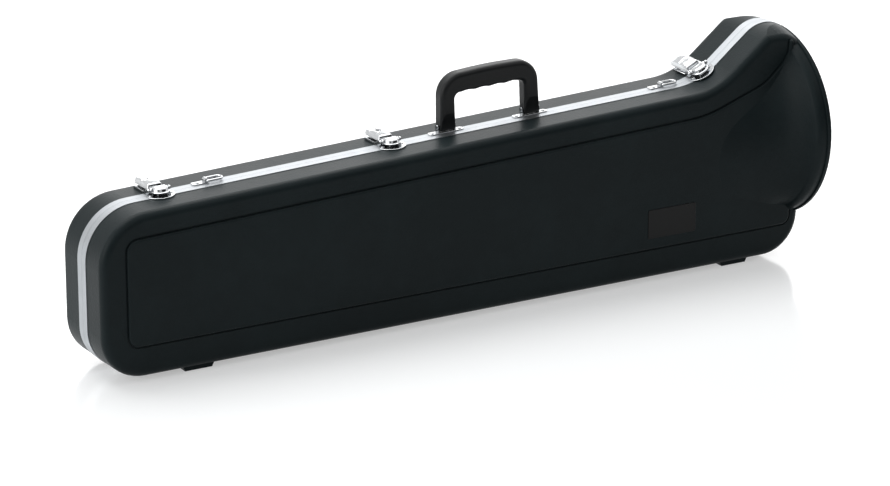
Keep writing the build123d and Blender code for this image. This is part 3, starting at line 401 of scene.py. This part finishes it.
@dataclass
class PlatedHardware:
    """Latches, mounts, rings and rivets in bright plate, with the lock and the moulded grip."""

    places: tuple[str, ...] = ("tail", "middle", "bell")
    latch_pieces: tuple[str, ...] = ("base", "pivots", "lever", "claw", "claw_pin", "keeper")
    end_pieces: tuple[str, ...] = ("handle_mount", "handle_pin", "strap_plate", "strap_ring")

    def names(self) -> list[str]:
        """Return every plated CAD node."""
        latches = [f"latch_{piece}_{place}"
                   for piece in self.latch_pieces for place in self.places]
        ends = [f"{piece}_{end}" for piece in self.end_pieces for end in ("tail", "bell")]
        return latches + ends + ["body_rivets", "lid_rivets"]

    def dress(self) -> None:
        """Give the hardware its plating, the lock a duller one and the grip its plastic."""
        dress(self.names(), Surface.HARDWARE.value.build())
        dress(["lock_plug"], Surface.LOCK.value.build())
        dress(["handle_grip"], Surface.GRIP.value.build())


@dataclass
class CaseOutline:
    """The rounded outline of the case on the seam plane, in millimetres, as corners with radii."""

    corners: tuple[tuple[float, float, float], ...] = (
        (-457.0, 5.0, 50.0), (457.0, 5.0, 48.0), (457.0, 269.7, 13.0), (425.1, 289.6, 42.0),
        (336.0, 219.0, 94.0), (-457.0, 189.4, 60.0),
    )
    steps: int = 48

    def loop(self, inset: float) -> np.ndarray:
        """Sample the outline, moved inwards.

        Each corner is an arc from start + r (a sin p + n (1 - cos p)), where a is the way in, n the
        inner normal and p runs over the turn; every point then moves inwards along its own normal.

        Args:
            inset: distance inwards in millimetres.

        Returns:
            One row of points for each corner, shaped corners by steps by 2.
        """
        table = np.array(self.corners)
        point, radius = table[:, :2], table[:, 2:]
        way_in = point - np.roll(point, 1, axis=0)
        way_in /= np.linalg.norm(way_in, axis=1, keepdims=True)
        way_out = np.roll(way_in, -1, axis=0)
        turn = np.arctan2(way_in[:, 0] * way_out[:, 1] - way_in[:, 1] * way_out[:, 0],
                          (way_in * way_out).sum(axis=1))[:, None]
        side = np.sign(turn)
        start = point - way_in * radius * np.tan(abs(turn) / 2)
        left = np.stack((-way_in[:, 1], way_in[:, 0]), axis=1)
        angle = (abs(turn) * np.linspace(0, 1, self.steps))[:, :, None]
        arc = start[:, None] + radius[:, None] * (way_in[:, None] * np.sin(angle)
                                                  + (side * left)[:, None] * (1 - np.cos(angle)))
        inward = left[:, None] * np.cos(angle) - side[:, None] * way_in[:, None] * np.sin(angle)
        return arc + inset * inward

    def bottom_and_top(self, x: np.ndarray, inset: float) -> tuple[np.ndarray, np.ndarray]:
        """Return the lowest and the highest z of the inset outline at each x."""
        arcs = self.loop(inset)
        low = arcs[:2].reshape(-1, 2)
        high = arcs[2:].reshape(-1, 2)[::-1]
        return np.interp(x, low[:, 0], low[:, 1]), np.interp(x, high[:, 0], high[:, 1])


def rounded_box_distance(x: np.ndarray, z: np.ndarray, middle: tuple[float, float],
                         size: tuple[float, float], radius: float) -> np.ndarray:
    """Signed distance to a rounded rectangle, negative inside.

    With d = |p - middle| - size / 2 + radius, it is the length of d's positive part, plus d's
    larger part where both are negative, less the radius.

    Args:
        x: first coordinate of each point.
        z: second coordinate of each point.
        middle: middle of the rectangle.
        size: its length and height.
        radius: its corner radius.

    Returns:
        The distance of each point.
    """
    dx = abs(x - middle[0]) - size[0] / 2 + radius
    dz = abs(z - middle[1]) - size[1] / 2 + radius
    outside = np.hypot(np.maximum(dx, 0), np.maximum(dz, 0))
    return outside + np.minimum(np.maximum(dx, dz), 0) - radius


def drop(distance: np.ndarray, depth: float, roll: float) -> np.ndarray:
    """Depth of a well whose edge rolls over: a smooth step from 0 at its edge to depth inside."""
    t = np.clip(-distance / roll, 0, 1)
    return depth * t * t * (3 - 2 * t)


def two_sided(front: np.ndarray, back: np.ndarray, turned: bool) -> tuple[np.ndarray, np.ndarray]:
    """Join two grids of the same shape into one closed skin.

    Args:
        front: points of the front, rows by columns by 3.
        back: points of the back in the same order.
        turned: whether the faces are wound the other way.

    Returns:
        The points and the four corners of each face.
    """
    rows, columns = front.shape[:2]
    number = np.arange(rows * columns).reshape(rows, columns)
    quads = np.stack((number[:-1, :-1], number[1:, :-1], number[1:, 1:], number[:-1, 1:]),
                     axis=-1).reshape(-1, 4)
    edge = np.concatenate((number[0, :-1], number[:-1, -1], number[-1, :0:-1], number[:0:-1, 0]))
    following = np.roll(edge, -1)
    shift = rows * columns
    rim = np.stack((edge, following, following + shift, edge + shift), axis=-1)
    faces = np.concatenate((quads, quads[:, ::-1] + shift, rim))
    if turned:
        faces = faces[:, ::-1]
    return np.concatenate((front.reshape(-1, 3), back.reshape(-1, 3))), faces


def new_piece(name: str, points_mm: np.ndarray, faces: list[list[int]],
              material: bpy.types.Material) -> bpy.types.Object:
    """Make a smooth object at the origin from points in millimetres and faces.

    Args:
        name: the piece's name.
        points_mm: its points.
        faces: the corners of each face.
        material: its finish.

    Returns:
        The new object, linked to the scene.
    """
    mesh = bpy.data.meshes.new(name)
    mesh.from_pydata((points_mm * MM).tolist(), [], faces)
    mesh.materials.append(material)
    mesh.polygons.foreach_set("use_smooth", np.full(len(mesh.polygons), True))
    mesh.update()
    piece = bpy.data.objects.new(name, mesh)
    bpy.context.scene.collection.objects.link(piece)
    return piece


def lofted(rings: np.ndarray) -> tuple[np.ndarray, list[list[int]]]:
    """Skin closed rings one after another and close both ends.

    Args:
        rings: ring by point by 3, all wound the same way.

    Returns:
        The points, and faces with as many corners as they need.
    """
    count, size = rings.shape[:2]
    number = np.arange(count * size).reshape(count, size)
    following = np.roll(number, -1, axis=1)
    quads = np.stack((number[:-1], following[:-1], following[1:], number[1:]),
                     axis=-1).reshape(-1, 4)
    ends = [number[0, ::-1].tolist(), number[-1].tolist()]
    return rings.reshape(-1, 3), quads.tolist() + ends


def rounded_ring(half: float, front: float, rear: float, front_radius: float, rear_radius: float,
                 side_steps: int = 56, corner_steps: int = 8) -> np.ndarray:
    """Points round a rectangle whose front and rear corners have their own radii.

    Args:
        half: half its width along x.
        front: its front y.
        rear: its rear y.
        front_radius: radius of the two front corners.
        rear_radius: radius of the two rear corners.
        side_steps: points along each straight side.
        corner_steps: points on each corner.

    Returns:
        The points anticlockwise from the front, n by 2.
    """
    arcs = []
    for x, y, radius, start in ((half - front_radius, front + front_radius, front_radius, -90),
                                (half - rear_radius, rear - rear_radius, rear_radius, 0),
                                (rear_radius - half, rear - rear_radius, rear_radius, 90),
                                (front_radius - half, front + front_radius, front_radius, 180)):
        angle = np.radians(start + np.linspace(0, 90, corner_steps))
        arcs.append(np.stack((x + radius * np.cos(angle), y + radius * np.sin(angle)), axis=1))
    t = np.linspace(0, 1, side_steps + 2)[1:-1, None]
    right = arcs[0][-1] * (1 - t) + arcs[1][0] * t
    left = arcs[2][-1] * (1 - t) + arcs[3][0] * t
    return np.concatenate((arcs[0], right, arcs[1], arcs[2], left, arcs[3]))


def stamped(stations: tuple[tuple[float, ...], ...]) -> np.ndarray:
    """Rings of a stamped form, from each station's rounded_ring sizes and its z."""
    return np.stack([np.insert(rounded_ring(*sizes), 2, z, axis=1) for *sizes, z in stations])


def side_plate(profile: np.ndarray, start: float, end: float, bevel: float = 0.35) -> np.ndarray:
    """Rings of a plate along x from its (y, z) profile, with its edges broken by a bevel.

    Args:
        profile: the outline, wound anticlockwise as seen from +x.
        start: where it begins along x.
        end: where it ends.
        bevel: how much of each edge is taken off.

    Returns:
        Four rings, each a copy of the outline.
    """
    middle = profile.mean(axis=0)
    reach = np.linalg.norm(profile - middle, axis=1, keepdims=True)
    small = middle + (profile - middle) * (1 - bevel / reach)
    cuts = ((start, small), (start + bevel, profile), (end - bevel, profile), (end, small))
    return np.stack([np.insert(shape, 0, x, axis=1) for x, shape in cuts])


def arc(y: float, z: float, radius: float, start: float, end: float, steps: int = 14) -> np.ndarray:
    """Points on an arc in the side view, from one angle in degrees to another."""
    angle = np.radians(np.linspace(start, end, steps))
    return np.stack((y + radius * np.cos(angle), z + radius * np.sin(angle)), axis=1)


def drill(piece: bpy.types.Object, place: Vector, axis: Vector, radius: float,
          length: float = 0.03) -> None:
    """Cut a round hole through a piece.

    Args:
        piece: the object that gets the hole; its mesh is closed.
        place: a point on the hole's axis, in metres.
        axis: the way it runs.
        radius: its radius in metres.
        length: how long the cutter is, with its middle at place.
    """
    cutter = bpy.data.meshes.new("cutter")
    shape = bmesh.new()
    turn = axis.to_track_quat("Z", "Y").to_matrix().to_4x4()
    bmesh.ops.create_cone(shape, cap_ends=True, segments=48, radius1=radius, radius2=radius,
                          depth=length, matrix=Matrix.Translation(place) @ turn)
    shape.to_mesh(cutter)
    shape.free()
    tool = bpy.data.objects.new("cutter", cutter)
    bpy.context.scene.collection.objects.link(tool)
    cut = piece.modifiers.new("hole", "BOOLEAN")
    cut.operation = "DIFFERENCE"
    cut.object = tool
    bpy.context.view_layer.update()
    finished = piece.evaluated_get(bpy.context.evaluated_depsgraph_get())
    done = bpy.data.meshes.new_from_object(finished)
    piece.modifiers.clear()
    piece.data = done
    bpy.data.objects.remove(tool)


@dataclass(frozen=True)
class Seat:
    """Where a latch sits on the wall, in millimetres, with the wall's slope there in degrees.

    Its groove is the y of the groove across the lever's crown.
    """

    name: str
    x: float
    z: float
    slope: float
    groove: float

    def place(self, points: np.ndarray) -> np.ndarray:
        """Take points from the seat's axes to the case's: turned about Y, then moved."""
        a = math.radians(self.slope)
        x, y, z = points[..., 0], points[..., 1], points[..., 2]
        along = self.x + x * math.cos(a) - z * math.sin(a)
        up = self.z + x * math.sin(a) + z * math.cos(a)
        return np.stack((along, y, up), axis=-1)


@dataclass
class DrawLatches:
    """The stamped bases, levers and claws of the three draw latches, in place of the CAD ones.

    Sizes are in millimetres on a seat's own axes: x along the seam, y to the rear, z out of the
    wall. A station is (half width, front, rear, front radius, rear radius, z), and a level is the
    number of a station. Side views are (y, z) points.
    """

    seats: tuple[Seat, ...] = (
        Seat("tail", -363.019, 193.412, 2.14, 24.5),
        Seat("middle", -74.019, 204.211, 2.14, 31.5),
        Seat("bell", 343.096, 229.659, 26.721, 24.5),
    )
    locking: str = "middle"
    lock: tuple[float, float] = (25.2, 3.45)
    groove_size: tuple[float, float] = (0.9, 0.9)
    crown_rise: float = 1.3
    crown_foot: float = 5.45
    crown_height: float = 4.4
    crown_middle: float = 28.0
    crown_reach: float = 16.0
    crown_level: int = 7
    drill_z: float = 9.0
    flange_levels: tuple[int, int] = (3, 7)
    tip_rise: float = 0.9
    tip_start: float = 43.0
    tip_length: float = 5.0
    pivot: tuple[float, float] = (-0.5, 5.4)
    arm_radius: float = 2.9
    arm_end: tuple[tuple[float, float], ...] = ((6.0, 2.7), (11.6, 4.3), (11.6, 5.35), (4.4, 5.6))
    arm_span: tuple[float, float] = (6.6, 10.6)
    tongue_eye: tuple[float, float, float] = (5.5, 4.8, 2.2)
    tongue_hook: tuple[tuple[float, float], ...] = (
        (-3.0, 6.8), (-10.4, 6.8), (-11.4, 6.0), (-11.2, 1.7),
        (-9.7, 1.7), (-9.7, 3.95), (-3.5, 3.95), (1.5, 2.9),
    )
    tongue_half: float = 6.2
    rail: tuple[tuple[float, float], ...] = (
        (4.1, 0.2), (35.5, 0.2), (35.5, 1.6), (34.6, 2.5), (5.0, 2.5), (4.1, 2.2),
    )
    ear_radius: float = 2.7
    ear_foot: tuple[tuple[float, float], ...] = ((1.8, 0.3), (11.6, 0.3), (11.6, 2.4))
    side_span: tuple[float, float] = (11.7, 13.0)
    side_bevel: float = 0.25
    sharp_degrees: float = 38.0
    lever_stations: tuple[tuple[float, ...], ...] = (
        (0.1, 16.0, 38.0, 0.05, 0.05, 8.2),
        (5.6, 12.0, 41.5, 1.5, 5.5, 8.0),
        (7.2, 10.3, 43.6, 1.6, 7.0, 4.6),
        (10.0, 8.3, 48.0, 1.0, 9.5, 4.3),
        (10.6, 8.0, 48.6, 1.2, 10.0, 4.7),
        (10.6, 8.0, 48.6, 1.2, 10.0, 5.1),
        (10.2, 8.1, 48.2, 1.0, 9.7, 5.4),
        (9.2, 8.2, 46.9, 1.2, 9.0, 5.45),
        (8.9, 8.3, 46.5, 1.2, 8.7, 5.8),
        (8.4, 8.6, 45.9, 1.2, 8.2, 8.4),
        (8.0, 9.1, 45.3, 1.2, 7.8, 9.1),
        (7.2, 10.2, 44.3, 1.2, 7.0, 9.55),
        (5.0, 12.0, 42.0, 1.0, 4.8, 9.8),
        (0.1, 16.0, 38.0, 0.05, 0.05, 9.95),
    )
    claw_stations: tuple[tuple[float, ...], ...] = (
        (0.1, -8.5, -6.5, 0.05, 0.05, 4.6),
        (7.6, -12.0, -4.6, 6.4, 0.6, 4.3),
        (10.0, -14.0, -4.3, 8.6, 0.8, 4.3),
        (10.6, -14.6, -4.2, 9.2, 0.8, 4.7),
        (10.6, -14.6, -4.2, 9.2, 0.8, 5.1),
        (10.2, -14.2, -4.2, 8.8, 0.8, 5.4),
        (9.2, -13.2, -4.2, 7.9, 0.8, 5.45),
        (8.9, -12.9, -4.2, 7.6, 0.8, 5.8),
        (8.6, -12.5, -4.2, 7.3, 0.8, 8.0),
        (8.4, -12.2, 0.2, 7.1, 0.5, 8.55),
        (8.0, -11.7, 0.2, 6.6, 0.5, 9.1),
        (7.2, -10.7, -0.2, 5.6, 0.5, 9.5),
        (5.0, -8.9, -1.2, 3.4, 0.4, 9.75),
        (0.1, -7.0, -5.0, 0.05, 0.05, 9.85),
    )
    base_stations: tuple[tuple[float, ...], ...] = (
        (0.1, 12.0, 30.0, 0.05, 0.05, 0.02),
        (12.9, 1.7, 37.9, 2.4, 3.4, 0.02),
        (13.0, 1.6, 38.0, 2.5, 3.5, 0.3),
        (13.0, 1.6, 38.0, 2.5, 3.5, 0.85),
        (12.6, 2.0, 37.6, 2.2, 3.2, 1.2),
        (0.1, 12.0, 30.0, 0.05, 0.05, 1.2),
    )

    def lever(self, groove: float) -> list[np.ndarray]:
        """Rings of one lever: its stamped top, and an arm on each side down to the pivot.

        The crown rises by an arch, 1 - ((y - middle) / reach)^2, less the groove,
        exp(-((y - groove) / width)^2). The flange turns up by a square law past the tip's start.

        Args:
            groove: the y of the groove across the crown.

        Returns:
            The rings of each shell.
        """
        rings = stamped(self.lever_stations)
        width, depth = self.groove_size
        y, z = rings[..., 1], rings[..., 2]
        height = np.clip((z - self.crown_foot) / self.crown_height, 0, 1)
        off_middle = (y - self.crown_middle) / self.crown_reach
        arch = self.crown_rise * np.clip(1 - off_middle**2, 0, 1)
        cut = depth * np.exp(-((y - groove) / width) ** 2)
        tip = self.tip_rise * np.clip((y - self.tip_start) / self.tip_length, 0, 1) ** 2
        level = np.arange(len(rings))[:, None]
        first, last = self.flange_levels
        rings[..., 2] += np.where(level >= self.crown_level, height * (arch - cut), 0)
        rings[..., 2] += np.where((level >= first) & (level <= last), tip, 0)
        arm = np.concatenate((arc(*self.pivot, self.arm_radius, 60, 270), self.arm_end))
        near, far = self.arm_span
        return [rings, side_plate(arm, near, far), side_plate(arm, -far, -near)]

    def claw(self) -> list[np.ndarray]:
        """Rings of one claw: its nose over the keeper, and the tongue that hangs on its pin."""
        tongue = np.concatenate((arc(*self.tongue_eye, -90, 72), self.tongue_hook))
        half = self.tongue_half
        return [stamped(self.claw_stations), side_plate(tongue, -half, half)]

    def base(self) -> list[np.ndarray]:
        """Rings of one base: its plate, a rail down each side and an ear at each pivot end."""
        ear = np.concatenate((arc(*self.pivot, self.ear_radius, 40, 215), self.ear_foot))
        near, far = self.side_span
        sides = [side_plate(profile, *ends, self.side_bevel)
                 for profile in (np.array(self.rail), ear) for ends in ((near, far), (-far, -near))]
        return [stamped(self.base_stations)] + sides

    def make(self, name: str, seat: Seat, shells: list[np.ndarray], body: str, node: str,
             metal: bpy.types.Material) -> bpy.types.Object:
        """Make one piece from its shells and put it in place of its CAD node.

        Args:
            name: the piece's name.
            seat: where it sits.
            shells: rings of each of its shells.
            body: the body that it moves with.
            node: the CAD node that it stands for.
            metal: its finish.

        Returns:
            The new object.
        """
        points, faces, start = [], [], 0
        for rings in shells:
            skin, corners = lofted(rings)
            faces += [[start + i for i in corner] for corner in corners]
            points.append(skin)
            start += len(skin)
        piece = new_piece(name, seat.place(np.concatenate(points)), faces, metal)
        piece.data.set_sharp_from_angle(angle=math.radians(self.sharp_degrees))
        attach(piece, body)
        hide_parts(node)
        return piece

    def dress(self) -> None:
        """Put a base, a lever and a claw on every seat, and a hole for the plug in one lever."""
        metal = bpy.data.materials[Surface.HARDWARE.value.name]
        for seat in self.seats:
            end = seat.name
            lever = self.make(f"stamped_lever_{end}", seat, self.lever(seat.groove), f"lever_{end}",
                              f"latch_lever_{end}", metal)
            if end == self.locking:
                y, radius = self.lock
                place = Vector(seat.place(np.array((0.0, y, self.drill_z)))) * MM
                axis = Vector(seat.place(np.array((0.0, y, self.drill_z + 1)))) * MM - place
                drill(lever, place, axis, radius * MM)
            self.make(f"stamped_claw_{end}", seat, self.claw(), f"claw_{end}",
                      f"latch_claw_{end}", metal)
            self.make(f"stamped_base_{end}", seat, self.base(), "case_body",
                      f"latch_base_{end}", metal)


@dataclass
class PlushLiners:
    """The two foam liners under one plush skin each, with the wells that hold the instrument.

    Sizes are in millimetres and follow the CAD liners that these stand for.
    """

    inset: float = 5.1
    seam: float = 1.3
    back: float = 46.3
    roll: float = 6.0
    columns: int = 420
    rows: int = 100
    bell_axis_z: float = 159.0
    slide_middle: tuple[float, float] = (-32.0, 82.0)
    slide_size: tuple[float, float] = (800.0, 110.0)
    slide_groove: float = 22.0
    slide_depth: float = 36.5
    bow_middle: tuple[float, float] = (-67.5, 126.0)
    bow_size: tuple[float, float] = (165.0, 90.0)
    bow_depth: float = 11.5
    tray_middle: tuple[float, float] = (130.0, 68.0)
    tray_size: tuple[float, float] = (150.0, 84.0)
    tray_depth: float = 39.5
    holes_x: tuple[float, ...] = (235.0, 272.8)
    hole_radius: float = 13.5
    hole_roll: float = 5.0
    tray_radius: float = 8.0
    tube_radius: float = 12.0
    end_margin: float = 0.5
    bell_stations: tuple[float, ...] = (-110.0, 221.0, 301.0, 365.0, 399.0, 419.0, 431.0, 441.0,
                                        452.0)
    bell_radii: tuple[float, ...] = (12.0, 12.0, 20.5, 32.4, 49.7, 70.0, 86.0, 106.0, 106.0)
    wave_height: float = 0.25
    cover: float = 0.3
    edge_drop: float = 3.5
    edge_reach: float = 4.0
    border: float = 9.0
    thinnest: float = 1.2
    drum_radius: float = 118.0
    drum_start: float = 380.0
    outline: CaseOutline = field(default_factory=CaseOutline)

    def grid(self) -> tuple[np.ndarray, np.ndarray, np.ndarray]:
        """Spread columns along x, closer at the ends, and rows from the bottom to the top.

        Columns follow u - sin(2 pi u) / (4 pi), for even steps of u from 0 to 1.

        Returns:
            x, z and the rough distance to the outline, each rows by columns.
        """
        u = np.linspace(0, 1, self.columns)
        spread = u - 0.5 * np.sin(2 * np.pi * u) / (2 * np.pi)
        half = -self.outline.corners[0][0] - self.inset
        x = -half + 2 * half * spread
        low, high = self.outline.bottom_and_top(x, self.inset)
        v = np.linspace(0, 1, self.rows)[:, None]
        z = low + (high - low) * v
        wide = np.broadcast_to(x, z.shape)
        edge = np.minimum(np.minimum(z - low, high - z), np.minimum(wide + half, half - wide))
        return wide, z, edge

    def bell_depth(self, x: np.ndarray, z: np.ndarray) -> np.ndarray:
        """Half-round room for the bell: sqrt(R(x)^2 - dz^2), where R follows the bell's radii."""
        radius = np.interp(x, self.bell_stations, self.bell_radii, left=0)
        across = z - self.bell_axis_z
        inside = radius * radius - across * across
        return np.where(inside > 0, np.sqrt(np.maximum(inside, 0)), 0)

    def loop_depth(self, x: np.ndarray, z: np.ndarray, middle: tuple[float, float],
                   size: tuple[float, float], width: float, depth: float) -> np.ndarray:
        """Depth of a groove that runs round a loop with round ends.

        Args:
            x: first coordinate of each point.
            z: second coordinate of each point.
            middle: middle of the loop.
            size: its outer length and height.
            width: width of the groove.
            depth: its depth.

        Returns:
            The depth at each point.
        """
        outer = rounded_box_distance(x, z, middle, size, size[1] / 2 - self.end_margin)
        hollow = tuple(side - 2 * width for side in size)
        inner = rounded_box_distance(x, z, middle, hollow, hollow[1] / 2 - self.end_margin)
        return drop(np.maximum(outer, -inner), depth, self.roll)

    def lid_depth(self, x: np.ndarray, z: np.ndarray) -> np.ndarray:
        """Depth of the lid's wells: the hand slide's loop and the front half of the bell room."""
        slide = self.loop_depth(x, z, self.slide_middle, self.slide_size, self.slide_groove,
                                self.slide_depth)
        return np.maximum(slide, self.bell_depth(x, z))

    def body_depth(self, x: np.ndarray, z: np.ndarray) -> np.ndarray:
        """Depth of the body's wells: bell section with its bow, parts well and mouthpieces."""
        depth = self.loop_depth(x, z, self.bow_middle, self.bow_size, 2 * self.tube_radius,
                                self.bow_depth)
        well = rounded_box_distance(x, z, self.tray_middle, self.tray_size, self.tray_radius)
        depth = np.maximum(depth, drop(well, self.tray_depth, self.roll))
        for hole_x in self.holes_x:
            hole = np.hypot(x - hole_x, z - self.tray_middle[1]) - self.hole_radius
            depth = np.maximum(depth, drop(hole, self.tray_depth, self.hole_roll))
        return np.maximum(depth, self.bell_depth(x, z))

    def waves(self, x: np.ndarray, z: np.ndarray) -> np.ndarray:
        """Small waves of the plush: h sin(x/17 + 2 sin(z/23)) sin(z/13 + 1.3 sin(x/31))."""
        along = np.sin(x / 17.0 + 2.0 * np.sin(z / 23.0))
        return self.wave_height * along * np.sin(z / 13.0 + 1.3 * np.sin(x / 31.0))

    def skin(self, depth_of: Callable[[np.ndarray, np.ndarray], np.ndarray],
             side: int) -> tuple[np.ndarray, np.ndarray]:
        """Make the closed skin of one liner.

        The front is seam + depth, with small waves of the plush and an edge that rolls back. The
        back lies on the shell: its border is rounded as the shell's is, and the bell's round drum
        cuts it.

        Args:
            depth_of: the function that gives the depth of the wells.
            side: 1 for the body behind the seam, -1 for the lid in front of it.

        Returns:
            Points and faces.
        """
        x, z, edge = self.grid()
        inward = 1 - np.clip(edge / self.edge_reach, 0, 1)
        rolled = self.edge_drop * (1 - np.sqrt(1 - inward**2))
        front_y = self.seam + self.cover + self.waves(x, z) + np.maximum(depth_of(x, z), rolled)
        border = 1 - np.clip(edge / self.border, 0, 1)
        shell = self.back - self.border * (1 - np.sqrt(1 - border**2))
        back_y = np.maximum(shell, front_y + self.thinnest)
        front = np.stack((x, side * front_y, z), axis=-1)
        drum = self.bell_axis_z + np.sqrt(np.maximum(self.drum_radius**2 - back_y**2, 0))
        low = np.where(x > self.drum_start, np.minimum(z, drum), z)
        back = np.stack((x, side * back_y, low), axis=-1)
        return two_sided(front, back, side < 0)

    def dress(self) -> None:
        """Lay both plush skins in place of the CAD liners."""
        plush = Surface.PLUSH.value.build()
        for half, depth_of, side, body in (("body", self.body_depth, 1, "case_body"),
                                           ("lid", self.lid_depth, -1, "lid")):
            points, faces = self.skin(depth_of, side)
            piece = new_piece(f"{half}_plush", points, faces.tolist(), plush)
            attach(piece, body)
            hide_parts(f"{half}_liner")


@dataclass(frozen=True)
class SoftBank:
    """One soft rectangular lamp: its place, the point it is aimed at, its size and its watts."""

    name: str
    place: tuple[float, float, float]
    aim: tuple[float, float, float]
    size: tuple[float, float]
    power: float

    def hang(self) -> None:
        """Hang the lamp and aim it."""
        data = bpy.data.lights.new(self.name, "AREA")
        data.shape = "RECTANGLE"
        data.size, data.size_y = self.size
        data.energy = self.power
        lamp = bpy.data.objects.new(self.name, data)
        lamp.location = self.place
        way = Vector(self.aim) - Vector(self.place)
        lamp.rotation_euler = way.to_track_quat("-Z", "Y").to_euler()
        bpy.context.scene.collection.objects.link(lamp)


@dataclass
class Studio:
    """Camera, floor, curtain, lamps and the white background, in metres and degrees."""

    target_mm: tuple[float, float, float] = (-2.03, 0.0, 76.37)
    azimuth: float = 30.46
    elevation: float = 18.37
    distance: float = 4.398
    lens_mm: float = 155.93
    sensor_mm: float = 36.0
    clip_end: float = 100.0
    floor_half: float = 40.0
    ambient: float = 0.42
    curtain_half: float = 7.0
    curtain_height: float = 4.5
    curtain_y: float = -5.5
    lamps: tuple[SoftBank, ...] = (
        SoftBank("overhead_bank", (-0.1, 0.75, 1.9), (0.0, 0.0, 0.1), (2.6, 1.3), 34.0),
        SoftBank("rear_bank", (1.5, 2.5, 1.05), (0.0, 0.0, 0.15), (3.4, 1.5), 21.0),
        SoftBank("left_bank", (-2.3, 0.1, 0.9), (-0.2, 0.0, 0.1), (1.2, 1.4), 14.0),
        SoftBank("front_fill", (-0.6, -2.6, 1.7), (0.1, 0.0, 0.1), (2.0, 1.6), 6.0),
    )

    def place_camera(self) -> None:
        """Set the camera on the line that the photograph was taken along."""
        a, e = math.radians(self.azimuth), math.radians(self.elevation)
        look = Vector((math.sin(a) * math.cos(e), math.cos(a) * math.cos(e), -math.sin(e)))
        data = bpy.data.cameras.new("photo_camera")
        data.lens = self.lens_mm
        data.sensor_width = self.sensor_mm
        data.clip_end = self.clip_end
        camera = bpy.data.objects.new("photo_camera", data)
        camera.location = Vector(self.target_mm) * MM - look * self.distance
        camera.rotation_euler = look.to_track_quat("-Z", "Y").to_euler()
        bpy.context.scene.collection.objects.link(camera)
        bpy.context.scene.camera = camera

    def spread_sheet(self, name: str, corners: list[tuple[float, float, float]],
                     material: bpy.types.Material) -> bpy.types.Object:
        """Put up one flat sheet of the studio between four corners in metres."""
        mesh = bpy.data.meshes.new(name)
        mesh.from_pydata(corners, [], [(0, 1, 2, 3)])
        mesh.materials.append(material)
        sheet = bpy.data.objects.new(name, mesh)
        bpy.context.scene.collection.objects.link(sheet)
        return sheet

    def lay_floor(self) -> None:
        """Lay one flat sheet under the case."""
        h = self.floor_half
        corners = [(-h, -h, 0), (h, -h, 0), (h, h, 0), (-h, h, 0)]
        self.spread_sheet("floor_sheet", corners, StudioSweep().build())

    def hang_curtain(self) -> None:
        """Hang a dark curtain behind the camera, which gives the plating its dark reflections."""
        h, y, top = self.curtain_half, self.curtain_y, self.curtain_height
        corners = [(-h, y, 0), (h, y, 0), (h, y, top), (-h, y, top)]
        curtain = self.spread_sheet("dark_curtain", corners, StudioCurtain().build())
        curtain.visible_camera = False

    def light_world(self) -> None:
        """White where the camera, mirrors and glass look, and a softer fill for the rest."""
        world = bpy.data.worlds.new("white_studio")
        bpy.context.scene.world = world
        world.use_nodes = True
        tree = world.node_tree
        tree.nodes.clear()
        level = add_node(tree, "ShaderNodeMapRange", {
            "Value": seen_directly(tree), "To Min": self.ambient, "To Max": 1.0})
        sky = add_node(tree, "ShaderNodeBackground", {
            "Color": WHITE, "Strength": level.outputs["Result"]})
        add_node(tree, "ShaderNodeOutputWorld", {"Surface": sky.outputs[0]})

    def build(self) -> None:
        """Put the whole studio up."""
        self.place_camera()
        self.lay_floor()
        self.hang_curtain()
        for lamp in self.lamps:
            lamp.hang()
        self.light_world()
        bpy.context.scene.view_settings.view_transform = "Standard"


def main() -> None:
    """Build the studio and dress each sub-assembly in order."""
    logging.basicConfig(level=logging.INFO, format="%(message)s")
    Studio().build()
    for assembly in (CaseShells(), SeamMetal(), PlatedHardware(), DrawLatches(), PlushLiners()):
        assembly.dress()
        LOG.info("dressed %s", type(assembly).__name__)


if __name__ == "__main__":
    main()
